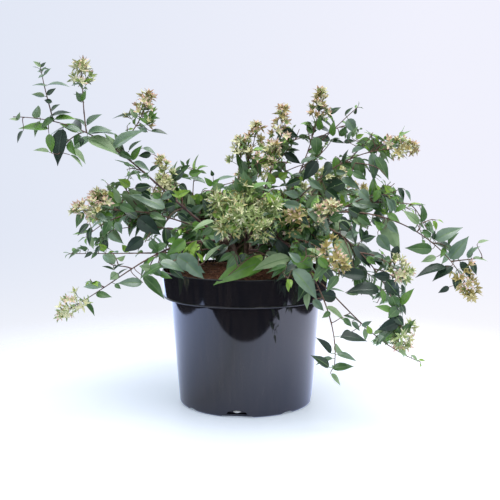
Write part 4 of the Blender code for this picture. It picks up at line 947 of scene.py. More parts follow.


# Leaves that the photograph shows plainly: the pixels of foot and tip, the width in pixels as they
# are turned, and the finish. Each grows from the nearest shoot.
# Two of the finishes here are painted light: a grey-blue painted sheen and a darker painted shade.
Seen = namedtuple("Seen", "foot_u foot_v tip_u tip_v wide finish")
SEEN_LEAVES = [Seen(*row) for row in (
    (63, 129, 57, 166, 15, PAINTED_SHADE), (49, 134, 52, 154, 9, GREEN), (49, 152, 33, 150, 4, UNDER),
    (79, 134, 74, 146, 7, FULL), (82, 138, 81, 147, 5, OLD), (73, 149, 86, 164, 6, UNDER),
    (70, 155, 83, 167, 3, UNDER), (88, 139, 120, 155, 13, UNDER), (113, 148, 145, 129, 11, PAINTED_SHEEN),
    (133, 115, 112, 118, 3, OLD), (137, 118, 130, 108, 6, UNDER), (151, 131, 168, 134, 4, OLD),
    (151, 109, 141, 110, 3, OLD), (88, 133, 112, 130, 7, PAINTED_SHEEN), (90, 134, 117, 134, 3, PAINTED_SHEEN),
    (66, 127, 84, 133, 5, PAINTED_SHEEN), (55, 119, 77, 119, 6, GREEN), (50, 117, 71, 112, 3, OLD),
    (54, 118, 40, 130, 7, FULL), (48, 129, 18, 128, 8, GREEN), (23, 131, 17, 143, 3, OLD),
    (17, 120, 20, 112, 4, UNDER), (18, 120, 9, 119, 3, UNDER), (51, 111, 60, 104, 4, OLD),
    (52, 102, 44, 100, 5, OLD), (47, 95, 56, 88, 5, OLD), (46, 86, 32, 85, 2, PAINTED_SHEEN),
    (48, 85, 70, 86, 2, PAINTED_SHEEN), (44, 75, 51, 68, 3, PAINTED_SHEEN), (44, 75, 38, 78, 3, PAINTED_SHEEN),
    (41, 67, 33, 61, 4, UNDER), (41, 67, 46, 62, 3, OLD), (81, 102, 76, 91, 6, FULL),
    (82, 101, 86, 90, 5, GREEN), (132, 160, 142, 145, 7, GREEN), (120, 152, 134, 160, 7, FULL),
    (151, 154, 138, 156, 7, OLD), (134, 162, 150, 171, 6, PAINTED_SHEEN), (143, 148, 156, 154, 4, PAINTED_SHEEN),
    (129, 151, 141, 140, 3, PAINTED_SHEEN), (148, 122, 144, 112, 5, GREEN), (149, 124, 157, 112, 5, GREEN),
    (130, 186, 118, 179, 9, YOUNG), (135, 188, 152, 186, 9, OLD), (165, 208, 128, 194, 13, PAINTED_SHEEN),
    (137, 218, 120, 207, 9, OLD), (138, 218, 161, 235, 17, PAINTED_SHADE), (143, 238, 124, 252, 13, PAINTED_SHADE),
    (89, 224, 77, 236, 6, OLD), (91, 227, 89, 246, 5, OLD), (83, 212, 76, 228, 8, FULL),
    (110, 220, 103, 236, 9, FULL), (116, 222, 122, 234, 8, PAINTED_SHEEN), (104, 240, 108, 249, 6, OLD),
    (106, 250, 98, 244, 7, YOUNG), (100, 246, 95, 256, 4, OLD), (88, 249, 76, 248, 4, FULL),
    (80, 250, 68, 259, 4, FULL), (150, 241, 158, 252, 9, FULL), (165, 228, 166, 249, 9, OLD),
    (185, 240, 168, 254, 13, GREEN), (185, 257, 156, 268, 14, PAINTED_SHEEN), (177, 256, 205, 273, 18, PAINTED_SHEEN),
    (163, 265, 140, 278, 7, FULL), (150, 268, 139, 266, 8, UNDER), (142, 283, 117, 283, 10, PAINTED_SHEEN),
    (143, 276, 165, 299, 11, FULL), (117, 273, 110, 280, 9, UNDER), (114, 270, 102, 266, 2, OLD),
    (114, 270, 124, 263, 2, OLD), (118, 275, 128, 268, 2, OLD), (115, 284, 121, 289, 5, FULL),
    (96, 294, 112, 297, 7, FULL), (85, 303, 95, 316, 5, FULL), (113, 206, 106, 196, 5, UNDER),
    (173, 180, 186, 168, 9, OLD), (189, 174, 203, 171, 8, GREEN), (184, 166, 180, 160, 3, FULL),
    (187, 165, 190, 158, 3, FULL), (205, 183, 184, 177, 4, PAINTED_SHEEN), (216, 181, 236, 176, 3, PAINTED_SHEEN),
    (213, 176, 211, 170, 4, OLD), (212, 186, 204, 177, 6, GREEN), (213, 186, 220, 178, 5, GREEN),
    (172, 191, 181, 199, 6, YOUNG), (160, 198, 152, 193, 8, GREEN), (203, 199, 190, 196, 7, YOUNG),
    (245, 175, 240, 158, 10, FULL), (248, 190, 243, 170, 12, FULL), (253, 157, 261, 177, 8, FULL),
    (274, 184, 268, 172, 8, YOUNG), (279, 178, 288, 173, 9, YOUNG), (276, 206, 266, 192, 9, YOUNG),
    (300, 207, 280, 203, 10, PAINTED_SHEEN), (250, 190, 273, 182, 5, GREEN), (263, 262, 213, 284, 18, GREEN),
    (290, 258, 252, 270, 13, UNDER), (263, 257, 246, 262, 10, YOUNG), (312, 268, 291, 256, 16, GREEN),
    (312, 268, 288, 270, 9, OLD), (293, 270, 318, 300, 16, PAINTED_SHEEN), (277, 240, 290, 257, 12, PAINTED_SHADE),
    (308, 210, 332, 236, 12, PAINTED_SHEEN), (317, 110, 329, 105, 5, OLD), (330, 114, 341, 107, 5, OLD),
    (345, 115, 353, 107, 3, OLD), (355, 114, 357, 108, 3, OLD), (320, 130, 319, 116, 7, GREEN),
    (333, 136, 334, 120, 7, GREEN), (348, 119, 356, 134, 11, PAINTED_SHEEN), (316, 137, 317, 156, 12, FULL),
    (330, 140, 315, 137, 7, OLD), (330, 141, 345, 143, 4, OLD), (283, 131, 299, 137, 10, PAINTED_SHADE),
    (282, 134, 276, 143, 4, OLD), (288, 151, 300, 150, 4, OLD), (285, 153, 301, 164, 9, PAINTED_SHADE),
    (301, 163, 318, 157, 4, PAINTED_SHEEN), (317, 161, 303, 181, 13, PAINTED_SHADE), (344, 165, 348, 149, 4, OLD),
    (352, 152, 366, 147, 5, PAINTED_SHEEN), (356, 157, 362, 178, 14, FULL), (372, 153, 374, 182, 11, PAINTED_SHEEN),
    (376, 157, 389, 180, 10, FULL), (335, 157, 336, 177, 8, GREEN), (330, 162, 324, 172, 8, OLD),
    (345, 182, 325, 190, 14, OLD), (422, 222, 422, 203, 7, FULL), (419, 224, 403, 210, 8, UNDER),
    (416, 231, 407, 226, 4, OLD), (431, 236, 420, 232, 6, FULL), (434, 240, 435, 230, 4, OLD),
    (435, 240, 463, 227, 13, PAINTED_SHEEN), (450, 259, 469, 236, 14, PAINTED_SHEEN), (432, 249, 405, 248, 12, FULL),
    (436, 257, 421, 262, 7, UNDER), (446, 267, 415, 277, 9, PAINTED_SHADE), (453, 267, 432, 281, 9, PAINTED_SHADE),
    (449, 287, 438, 293, 6, PAINTED_SHADE), (456, 275, 455, 290, 7, OLD), (460, 262, 471, 278, 8, PAINTED_SHADE),
    (468, 258, 473, 246, 6, PAINTED_SHEEN), (398, 188, 404, 201, 5, OLD), (405, 190, 411, 201, 3, PAINTED_SHEEN),
    (391, 192, 384, 185, 7, YOUNG), (392, 212, 386, 197, 6, PAINTED_SHEEN), (383, 229, 374, 221, 8, GREEN),
    (388, 222, 398, 234, 8, PAINTED_SHEEN), (378, 235, 391, 252, 12, PAINTED_SHEEN), (398, 246, 394, 267, 9, PAINTED_SHADE),
    (354, 246, 371, 268, 11, PAINTED_SHADE), (365, 276, 336, 273, 12, PAINTED_SHADE), (379, 290, 345, 292, 14, PAINTED_SHADE),
    (390, 277, 372, 275, 10, PAINTED_SHADE), (386, 280, 400, 297, 14, OLD), (382, 290, 384, 304, 6, GREEN),
    (401, 305, 414, 288, 8, GREEN), (400, 304, 406, 315, 5, OLD), (392, 311, 375, 306, 7, GREEN),
    (396, 305, 390, 323, 10, OLD), (399, 322, 377, 330, 12, PAINTED_SHADE), (403, 336, 415, 319, 7, FULL),
    (336, 297, 316, 294, 13, PAINTED_SHADE), (331, 353, 316, 337, 7, PAINTED_SHADE), (329, 367, 311, 355, 8, OLD),
    (337, 354, 357, 361, 6, PAINTED_SHEEN), (333, 369, 354, 366, 8, FULL), (331, 374, 341, 386, 5, UNDER),
    (341, 336, 368, 341, 10, PAINTED_SHADE), (344, 316, 361, 323, 3, PAINTED_SHEEN), (326, 307, 346, 322, 5, UNDER),
    (308, 292, 307, 310, 7, UNDER), (313, 300, 324, 311, 8, PAINTED_SHEEN), (240, 168, 236, 152, 6, FULL),
    (240, 192, 235, 176, 8, FULL), (257, 176, 250, 183, 5, PAINTED_SHEEN), (181, 170, 190, 165, 6, FULL),
    (212, 213, 202, 199, 10, OLD), (192, 208, 189, 194, 8, UNDER), (198, 205, 200, 193, 5, GREEN),
    (215, 218, 220, 208, 8, YOUNG), (189, 251, 197, 240, 8, YOUNG), (219, 230, 216, 244, 8, PAINTED_SHEEN),
    (214, 221, 191, 231, 5, UNDER), (205, 261, 222, 244, 4, UNDER), (203, 262, 196, 252, 4, YOUNG),
    (286, 266, 266, 273, 5, FULL), (287, 262, 284, 278, 3, UNDER), (274, 222, 268, 237, 5, OLD),
    (300, 180, 285, 186, 8, OLD), (299, 196, 283, 192, 8, PAINTED_SHEEN), (303, 175, 289, 176, 4, OLD),
    (298, 232, 283, 240, 6, FULL), (331, 164, 322, 178, 8, OLD), (336, 172, 347, 173, 6, PAINTED_SHEEN),
    (349, 177, 351, 167, 6, GREEN), (352, 172, 367, 180, 8, FULL), (342, 187, 322, 181, 13, OLD),
    (310, 181, 323, 190, 8, PAINTED_SHEEN), (341, 179, 361, 190, 8, PAINTED_SHEEN), (360, 190, 370, 201, 10, PAINTED_SHEEN),
    (352, 203, 378, 207, 10, PAINTED_SHEEN), (326, 190, 340, 201, 11, OLD), (349, 209, 367, 219, 10, OLD),
    (379, 190, 374, 202, 8, GREEN), (390, 199, 396, 213, 7, PAINTED_SHEEN), (406, 205, 394, 213, 6, GREEN),
    (307, 209, 328, 236, 10, PAINTED_SHEEN), (351, 224, 322, 232, 9, UNDER), (352, 219, 368, 229, 6, UNDER),
    (337, 240, 353, 263, 12, UNDER), (309, 241, 330, 258, 14, OLD), (307, 249, 334, 268, 4, UNDER),
    (367, 257, 376, 265, 7, GREEN), (352, 228, 356, 245, 5, OLD), (360, 228, 362, 244, 5, OLD),
    (367, 230, 366, 244, 5, OLD), (372, 206, 384, 212, 6, FULL), (342, 206, 330, 214, 8, FULL),
    (300, 215, 309, 226, 7, OLD), (315, 250, 299, 262, 12, FULL), (300, 262, 288, 252, 8, PAINTED_SHEEN),
    (262, 240, 250, 246, 4, OLD), (175, 205, 160, 210, 9, OLD), (150, 214, 166, 220, 8, FULL),
    (178, 214, 190, 222, 7, OLD), (168, 190, 176, 204, 8, OLD), (120, 205, 136, 212, 10, FULL),
    (96, 214, 108, 222, 7, PAINTED_SHEEN), (108, 200, 122, 206, 8, GREEN), (140, 196, 154, 203, 9, OLD),
    (100, 190, 110, 198, 5, FULL), (200, 222, 186, 214, 8, OLD), (196, 232, 180, 240, 8, FULL),
    (214, 250, 200, 238, 8, FULL), (150, 118, 156, 106, 4, GREEN), (149, 120, 160, 118, 4, FULL),
    (149, 124, 138, 118, 5, GREEN), (147, 132, 137, 127, 5, PAINTED_SHEEN), (330, 262, 312, 281, 10, FULL),
    (322, 268, 336, 284, 9, OLD), (318, 258, 331, 270, 9, GREEN), (338, 276, 326, 292, 9, FULL),
    (351, 332, 340, 338, 9, OLD), (371, 334, 367, 325, 6, YOUNG), (386, 341, 393, 333, 5, GREEN),
    (344, 318, 352, 327, 6, FULL), (330, 312, 322, 318, 6, FULL), (170, 262, 158, 252, 9, FULL),
    (228, 246, 208, 258, 9, OLD), (237, 255, 226, 269, 9, FULL), (160, 262, 185, 272, 9, PAINTED_SHEEN),
    (187, 263, 204, 279, 12, PAINTED_SHEEN), (300, 267, 276, 281, 9, OLD), (310, 266, 296, 283, 9, FULL),
    (286, 265, 271, 278, 7, FULL), (170, 268, 184, 279, 9, OLD), (470, 254, 480, 246, 4, PAINTED_SHEEN),
    (473, 258, 488, 261, 3, UNDER), (478, 243, 489, 240, 3, UNDER), (92, 252, 84, 258, 4, OLD),
    (86, 251, 80, 245, 4, FULL), (97, 252, 91, 259, 4, FULL), (352, 137, 358, 126, 5, UNDER),
    (356, 138, 364, 134, 5, YOUNG), (348, 140, 352, 130, 4, PAINTED_SHEEN), (340, 136, 347, 126, 7, FULL),
    (344, 142, 356, 141, 5, OLD), (352, 322, 360, 331, 5, PAINTED_SHEEN), (362, 326, 372, 321, 5, PAINTED_SHEEN),
    (374, 334, 385, 330, 4, UNDER), (380, 338, 389, 346, 4, UNDER), (396, 346, 405, 341, 4, UNDER),
    (399, 350, 408, 357, 4, UNDER), (412, 355, 418, 362, 3, UNDER), (340, 222, 352, 232, 9, OLD),
    (358, 216, 372, 226, 9, FULL), (372, 218, 384, 228, 8, OLD), (330, 220, 344, 214, 9, FULL),
    (388, 214, 400, 222, 7, GREEN), (346, 236, 360, 232, 8, PAINTED_SHEEN), (362, 240, 376, 236, 8, OLD),
    (136, 206, 148, 214, 9, FULL), (166, 244, 150, 254, 8, FULL), (268, 262, 248, 277, 8, GREEN),
    (180, 184, 188, 192, 7, OLD), (172, 192, 160, 200, 8, PAINTED_SHEEN), (180, 200, 169, 210, 9, FULL),
    (186, 206, 200, 212, 8, OLD), (196, 214, 184, 221, 8, OLD), (204, 222, 217, 226, 7, FULL),
    (176, 196, 191, 190, 7, YOUNG), (150, 196, 140, 190, 7, OLD), (212, 228, 200, 236, 7, FULL),
    (192, 212, 204, 204, 8, PAINTED_SHEEN), (150, 171, 160, 164, 4, OLD), (262, 232, 276, 240, 8, OLD),
    (268, 246, 256, 254, 8, FULL), (300, 244, 312, 252, 8, OLD), (290, 232, 304, 238, 8, FULL),
    (232, 254, 218, 262, 7, FULL), (240, 236, 228, 246, 6, OLD), (206, 240, 218, 252, 7, OLD),
    (224, 248, 216, 262, 8, OLD), (234, 251, 227, 264, 7, FULL), (211, 249, 207, 261, 6, PAINTED_SHADE),
    (200, 250, 196, 262, 6, OLD), (244, 254, 236, 266, 7, OLD), (392, 296, 398, 310, 12, FULL),
    (398, 308, 388, 318, 11, FULL), (396, 316, 404, 326, 9, OLD))]
SEEN_BEND = 0.45
SEEN_FOLD = (0.15, 0.4)
SEEN_TWIST = (-0.2, 0.2)
SEEN_TURN = 0.97
SEEN_STALK = 9 * MM
SEEN_NEARER = 3 * MM
SEEN_STEP = 3 * MM
SEEN_TIP_SHIFT = (-6, 3)
SEEN_SPREAD = 14

# Gaps in the crown that the photograph shows sky or the far side through: middle and half sizes in
# pixels. Seeded leaves and twigs keep out of them.
GAP_U, GAP_V, GAP_HALF_U, GAP_HALF_V = np.array((
    (122, 192, 6, 4), (128, 202, 6, 3), (123, 224, 6, 4), (140, 232, 9, 5), (146, 246, 4, 5),
    (114, 246, 7, 5), (97, 229, 4, 8), (173, 224, 9, 4), (184, 182, 9, 7), (228, 172, 10, 16),
    (258, 155, 5, 6), (262, 175, 6, 13), (270, 138, 7, 7), (302, 147, 10, 7), (292, 168, 9, 4),
    (306, 186, 4, 4), (336, 150, 13, 6), (358, 150, 8, 4), (362, 187, 11, 3), (373, 214, 5, 5),
    (402, 222, 9, 9), (408, 240, 12, 8), (375, 243, 6, 5), (408, 262, 8, 5), (345, 264, 7, 4),
    (345, 286, 9, 3), (352, 304, 18, 8), (366, 316, 18, 12), (420, 290, 9, 14), (400, 172, 14, 12),
    (85, 269, 32, 13), (424, 188, 30, 15), (442, 210, 18, 10), (478, 222, 20, 15), (492, 246, 14, 14),
    (62, 98, 7, 9), (58, 80, 10, 8), (304, 112, 9, 9), (374, 122, 12, 9), (333, 326, 9, 14),
    (86, 182, 12, 9), (112, 172, 14, 8), (357, 242, 3, 3), (345, 216, 4, 4), (308, 245, 4, 2),
    (262, 236, 7, 4), (205, 246, 3, 3), (195, 190, 7, 4), (216, 268, 14, 7), (266, 275, 9, 4),
    (250, 292, 38, 10), (190, 285, 14, 9), (60, 216, 5, 9), (112, 120, 12, 7), (385, 308, 9, 5),
    (360, 350, 14, 8), (108, 332, 22, 32), (6, 104, 14, 12), (240, 106, 16, 14), (300, 130, 6, 6),
    (20, 104, 14, 8), (50, 100, 5, 7), (2, 130, 12, 34), (492, 262, 12, 22), (412, 305, 9, 10),
    (28, 80, 10, 14), (158, 310, 28, 32), (440, 338, 30, 26), (258, 108, 14, 13), (386, 124, 18, 13),
    (130, 268, 10, 6), (405, 262, 9, 9), (62, 289, 13, 11), (72, 322, 16, 11), (100, 160, 9, 10),
    (385, 354, 16, 8), (46, 107, 6, 6), (70, 105, 6, 9), (425, 262, 8, 8), (161, 176, 10, 20),
    (252, 140, 9, 10))).T


class Crown:
    """What one stem's shoots bear: young wood, leaves and blossom, gathered apart."""

    def __init__(self):
        self.twigs = Batch()
        self.leaves = Batch()
        self.blossom = Batch()
        self.mass = None

    def enter(self, name):
        """Takes up a shoot's mass in the source, which its leaves then keep to."""
        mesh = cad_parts["foliage_" + name].data
        self.mass = BVHTree.FromPolygons([v.co for v in mesh.vertices], [f.vertices for f in mesh.polygons])

    def keeps(self, points, margin):
        """Whether points are within the mass, or near its surface. Inner twigs have no mass to keep to."""
        for point in points if self.mass else ():
            spot, normal, _, distance = self.mass.find_nearest(Vector(point))
            if distance > margin and (Vector(point) - spot).dot(normal) > 0:
                return False
        return True

    def shows(self, points):
        """Whether points keep out of the gaps, and out of the way of leaves that the photograph shows."""
        foot, run, half, behind = SCREENS[:, 0:2], SCREENS[:, 2:4], SCREENS[:, 4], SCREENS[:, 5]
        for u, v, depth in pixels_of(points):
            if (((GAP_U - u) / GAP_HALF_U) ** 2 + ((GAP_V - v) / GAP_HALF_V) ** 2 < 1).any():
                return False
            away = np.array((u, v)) - foot
            share = np.clip((away * run).sum(axis=1) / (run ** 2).sum(axis=1), 0, 1)
            aside = np.linalg.norm(away - run * share[:, None], axis=1)
            if ((aside < half) & (depth < behind)).any():
                return False
        return True

    def seen_leaf(self, seen, curve, t, rng):
        """One leaf as the photograph shows it, on a stalk from the nearest point of a shoot or twig."""
        start, heading = point_on(curve, t), heading_on(curve, t)
        y = start[1] - SEEN_NEARER
        foot = point_behind((seen.foot_u, seen.foot_v), y)
        y += rng.uniform(*SEEN_TIP_SHIFT) * MM
        tip = point_behind((seen.tip_u, seen.tip_v), y)
        while not clear([tip, (tip + foot) / 2]) and y > cad_low[1]:
            y -= SEEN_STEP
            tip = point_behind((seen.tip_u, seen.tip_v), y)
        chord = np.linalg.norm(tip - foot)
        along = (tip - foot) / chord
        view = unit(CAMERA_PLACE - foot)
        flat = unit(view - along * (view @ along))
        wide = seen.wide / FOCAL * pixels_of(foot)[0, 2]
        width = max(wide, chord * rng.uniform(*LEAF_WIDTH))
        turn = math.acos(min(1.0, wide / width)) * SEEN_TURN
        side = np.cross(along, flat)
        face = flat * math.cos(turn) + side * math.sin(turn) * (1 if side[2] > 0 else -1)
        half = SEEN_BEND / 2
        cos, sin = math.cos(half), math.sin(half)
        along, face = along * cos + face * sin, face * cos - along * sin
        reach = np.linalg.norm(foot - start)
        own = (start, start + heading * reach * 0.35, foot - along * reach * 0.3, foot)
        points = [point_on(own, k / 6) for k in range(7)]
        thick = SHORT_STALK_RADIUS if reach < SEEN_STALK else LONG_STALK_RADIUS
        finish = WOODY if reach > SEEN_STALK else STALKY
        tube(self.twigs, points, np.linspace(thick, STALK_RADIUS, 7), 5, finish)
        length = chord / (sin / half)
        fold, twist = rng.uniform(*SEEN_FOLD), rng.uniform(*SEEN_TWIST)
        add_leaf(self.leaves, foot, along, face, length, width, SEEN_BEND, fold, twist, seen.finish)

    def wood(self, curve, begin, thick, thin, sides):
        """A twig along a curve to its end."""
        look = (WOODY, TWIG_RELIEF, TWIG_GRAIN, TWIG_STEP)
        wood_run(self.twigs, curve, begin, 1, thick, thin, sides, *look)

    def leaf(self, node, heading, side, size, age, rng):
        """One leaf on its stalk, leaning out to a side and hanging a little, its face to the light."""
        outward = unit(np.array((node[0], node[1] - 0.02, 0.0)) + 1e-6)
        width = size * rng.uniform(*LEAF_WIDTH)
        fold, twist = rng.uniform(*LEAF_FOLD), rng.uniform(*LEAF_TWIST)
        shade = age + rng.gauss(0, AGE_SCATTER)
        kind = next((kind for kind, least in AGES if shade > least), YOUNG)
        # Some old and full leaves take the painted sheen skin.
        if kind in (OLD, FULL) and rng.random() < PAINTED_SHEEN_SHARE:
            kind = PAINTED_SHEEN
        for _ in range(TRIES):
            lean = math.radians(rng.uniform(*LEAF_LEAN))
            along = heading * math.cos(lean) + side * math.sin(lean)
            along = unit(along - UP * rng.uniform(*LEAF_DROOP))
            wish = UP * rng.uniform(*FACE_UP) + outward * rng.uniform(*FACE_OUT)
            wish = wish + np.array([rng.gauss(0, FACE_SCATTER) for _ in range(3)])
            face = wish - along * (wish @ along)
            if np.linalg.norm(face) < 0.2:
                face = np.cross(along, side)
            face = unit(face)
            bend = rng.uniform(*LEAF_BEND)
            foot = node + along * LEAF_STALK
            ahead = [foot + along * size * k for k in (0.0, 0.5, 1.0)]
            end = ahead[2] - face * size * bend * 0.5
            if not clear([*ahead, ahead[1] - face * width / 2, end]):
                continue
            near = foot + along * size * 0.2
            if self.keeps((ahead[1], end), LEAF_MARGIN) and self.shows((near, ahead[1], end)):
                break
        else:
            return
        stalk = [node, node + along * LEAF_STALK * 0.5, foot]
        tube(self.twigs, stalk, [TWIG_RADIUS, STALK_RADIUS, STALK_RADIUS], 3, STALKY)
        add_leaf(self.leaves, foot, along, face, size, width, bend, fold, twist, kind)

    def pairs(self, curve, begin, end, longest, shortest, age, rng):
        """Opposite pairs along a stretch, each turned across the last, smaller and younger to the tip."""
        count = max(1, round(length_of(curve, begin, end) / LEAF_SPACING))
        roll = rng.uniform(0, 180)
        for i in range(count):
            along = (i + 0.5) / count
            t = begin + (end - begin) * (i + rng.uniform(*PAIR_PLACE)) / count
            size = longest + (shortest - longest) * along ** PAIR_TAPER
            for half_turn in (0, 180):
                wobble = rng.uniform(-PAIR_WOBBLE, PAIR_WOBBLE)
                side = side_of(heading_on(curve, t), roll + half_turn + wobble)
                grown = size * rng.uniform(*PAIR_SIZE)
                own_age = age - PAIR_YOUNGER * along
                self.leaf(point_on(curve, t), heading_on(curve, t), side, grown, own_age, rng)
            roll += rng.uniform(*PAIR_TURN)

    def tuft(self, curve, size, age, rng):
        """The youngest pairs, close together round a twig's tip."""
        heading = heading_on(curve, 1)
        roll = rng.uniform(0, 180)
        for i in range(2):
            node = point_on(curve, 1) - heading * (1 - i) * TUFT_GAP
            for half_turn in (0, 180):
                side = side_of(heading, roll + half_turn + 90 * i)
                self.leaf(node, unit(heading + side * (0.1 - 0.6 * i)), side, size * (1 - 0.35 * i), age, rng)

    def spray(self, curve, ends, longest, age, twiglets, rng, thick=SPRAY_RADIUS, listed=False):
        """A leafy twig with side twigs and what it ends in, if it is listed or keeps to its mass."""
        length = length_of(curve)
        line = [point_on(curve, k / 8) for k in range(1, 9)]
        if not listed and not (clear(line) and self.keeps(line, TWIG_MARGIN) and self.shows(line[2:])):
            return False
        self.wood(curve, 0, thick, TWIG_RADIUS, 5)
        begin, close = TUFT_BARE if ends == "tuft" else 0, 1
        if ends in PANICLES:
            size = min(rng.uniform(*PANICLES[ends].length) * MM, length * 0.7)
            close = 1 - size / length
            bear_blossom(self, curve, size, ends, age, rng)
        self.pairs(curve, begin, close, longest, longest * 0.62, age, rng)
        if ends not in PANICLES:
            self.tuft(curve, longest * 0.5, age - 0.3, rng)
        for i in range(twiglets):
            t = begin + (close - begin) * (i + rng.uniform(0.2, 0.8)) / twiglets
            self.side_twig(curve, t, longest * 0.72, SIDE_TWIG_LENGTH, age - 0.15, 0, 0, rng)
        return True

    def side_twig(self, curve, t, longest, lengths, age, twiglets, blossom, rng):
        """A twig that leaves another at share t, out to one side and up to the light."""
        heading = heading_on(curve, t)
        start = point_on(curve, t)
        for attempt in range(TRIES):
            side = side_of(heading, rng.choice((0, 180)) + rng.uniform(-40, 80))
            out = heading * rng.uniform(0.4, 0.9) + side * rng.uniform(0.6, 1.0) + UP * rng.uniform(-0.1, 0.4)
            out = unit(out)
            length = rng.uniform(*lengths) * (1 - 0.1 * attempt)
            lift = math.degrees(math.asin(out[2]))
            tip = start + out * length + UP * length * rng.uniform(-0.25, 0.1)
            ends = rng.choice(("cream", "peach", "green")) if rng.random() < blossom else "leaves"
            own = arch(start, tip, lift + 12, lift - rng.uniform(0, 40))
            if self.spray(own, ends, longest * rng.uniform(0.8, 1.05), age, twiglets, rng, SIDE_TWIG_RADIUS):
                break


# Blossom
# After its small white bells have dropped, each flower leaves a slender stalk-like ovary with a cup
# of four or five papery sepals, flushed at their tips. They stand in panicles at the shoots' ends.
PANICLE_STEP = 8.5 * MM
BRACT_STEPS = 2
TIP_STARS = 3
STALK_LENGTH = (4 * MM, 12 * MM)
FLOWER_STALK_RADII = (0.5 * MM, 0.4 * MM, 0.35 * MM)
OVARY_LENGTH = (3.5 * MM, 6 * MM)
OVARY_RADIUS = 0.6 * MM
SEPAL_LENGTH = (7.5 * MM, 11 * MM)
SEPAL_WIDTH = 3.4 * MM
SEPAL_SPREAD = (24, 62)
SEPAL_BEND = (-0.2, 0.5)
SEPAL_FOLD = 0.35
SEPAL_SHIFT = 9
SEPAL_SCATTER = 0.16
BRACT_LENGTH = (8 * MM, 15 * MM)
CREAM, GREENISH, PEACH, GOLDEN, STALK = range(5)

# Each kind of panicle: its length in millimetres, the tones of its sepals below and at their tips, and
# how long and thin they are drawn.
Panicle = namedtuple("Panicle", "length base tips slim")
PANICLES = {
    "cream": Panicle((28, 38), (CREAM, CREAM, GREENISH), (CREAM, PEACH, CREAM), 1),
    "peach": Panicle((28, 38), (CREAM, GOLDEN, CREAM, GREENISH), (PEACH, PEACH, CREAM), 1),
    "pale": Panicle((19, 26), (CREAM, CREAM, GREENISH), (CREAM, CREAM, GREENISH, PEACH), 1.1),
    "golden": Panicle((26, 34), (GOLDEN, GOLDEN, GREENISH), (PEACH, GOLDEN, GOLDEN), 1),
    "green": Panicle((28, 38), (GREENISH,) * 3 + (CREAM,), (GREENISH, GREENISH, CREAM, GOLDEN), 1.32),
}
SEPAL_STATIONS = np.array((0, 0.3, 0.58, 1.0))
SEPAL_HALF = np.array((0.45, 0.95, 1.0, 0.15))
SEPAL = Blade(SEPAL_STATIONS, SEPAL_HALF, across=np.array((-1.0, 0.0, 1.0)), bulge=0.0)
SEPAL_FACES = sheet_faces(len(SEPAL.stations), len(SEPAL.across))
SEPAL_BASE_FACES, SEPAL_TIP_FACES = 4, 2


def add_star(batch, root, along, kind, rng):
    """One spent flower: its ovary and the cup of sepals at the top, its tips in a tone of their own."""
    finish = [rng.choice(kind.base)] * SEPAL_BASE_FACES + [rng.choice(kind.tips)] * SEPAL_TIP_FACES
    top = root + along * rng.uniform(*OVARY_LENGTH)
    tube(batch, [root, (root + top) / 2, top], [0.3 * MM, OVARY_RADIUS * 0.7, OVARY_RADIUS], 4, STALK)
    count = rng.choice((4, 5, 5))
    roll = rng.uniform(0, 360)
    spread = math.radians(rng.uniform(*SEPAL_SPREAD))
    length = rng.uniform(*SEPAL_LENGTH)
    for i in range(count):
        side = side_of(along, roll + i * 360 / count + rng.uniform(-SEPAL_SHIFT, SEPAL_SHIFT))
        lean = spread + rng.uniform(-SEPAL_SCATTER, SEPAL_SCATTER)
        ahead = unit(along * math.cos(lean) + side * math.sin(lean))
        face = unit(along - ahead * (along @ ahead))
        grown = length * rng.uniform(0.85, 1.1) * kind.slim
        bend = rng.uniform(*SEPAL_BEND) * kind.slim ** 2
        width = SEPAL_WIDTH / kind.slim
        points, _ = blade_points(SEPAL, top, ahead, face, grown, width, bend, SEPAL_FOLD, twist=0)
        batch.add(points.reshape(-1, 3), SEPAL_FACES, np.array(finish))


def bear_blossom(crown, curve, size, ends, age, rng):
    """A panicle on the last stretch of a twig: opposite stalks of three stars each, and more at the tip."""
    share = size / length_of(curve)
    steps = max(3, round(size / PANICLE_STEP))
    roll = rng.uniform(0, 180)
    kind = PANICLES[ends]
    for i in range(steps + 1):
        t = 1 - share * (1 - i / steps)
        node, heading = point_on(curve, t), heading_on(curve, t)
        for half_turn in (0, 180):
            side = side_of(heading, roll + half_turn)
            stalk = unit(heading * (0.45 + 0.9 * i / steps) + side * 0.9 + UP * 0.15)
            reach = STALK_LENGTH[1] + (STALK_LENGTH[0] - STALK_LENGTH[1]) * i / steps
            end = node + stalk * reach * rng.uniform(0.8, 1.2)
            if not clear([end, end + stalk * 12 * MM]):
                continue
            tube(crown.blossom, [node, (node + end) / 2, end], FLOWER_STALK_RADII, 3, STALK)
            for splay in (-1, 0, 1):
                across = side_of(stalk, roll + 90)
                facing = stalk * 0.7 + UP * 0.5 + across * splay * 0.95
                facing = unit(facing + np.array([rng.gauss(0, 0.22) for _ in range(3)]))
                add_star(crown.blossom, end, facing, kind, rng)
            if i < BRACT_STEPS:
                crown.leaf(node, heading, side, rng.uniform(*BRACT_LENGTH), age - 0.2, rng)
        roll += 90
    for _ in range(TIP_STARS):
        facing = unit(heading + np.array([rng.gauss(0, 0.45) for _ in range(3)]))
        add_star(crown.blossom, point_on(curve, 1), facing, kind, rng)


blossom_skins = [
    leaf_finish("cream_sepal", (0.70, 0.69, 0.38), (0.88, 0.86, 0.56), 0.7, 0.0),
    leaf_finish("greenish_sepal", (0.26, 0.34, 0.11), (0.42, 0.51, 0.19), 0.7, 0.0),
    leaf_finish("peach_sepal", (0.78, 0.50, 0.38), (0.90, 0.67, 0.53), 0.7, 0.0),
    leaf_finish("golden_sepal", (0.42, 0.34, 0.12), (0.60, 0.52, 0.21), 0.7, 0.0),
    leaf_finish("flower_stalk", (0.14, 0.19, 0.05), (0.28, 0.32, 0.09), 0.6, 0.0),
]

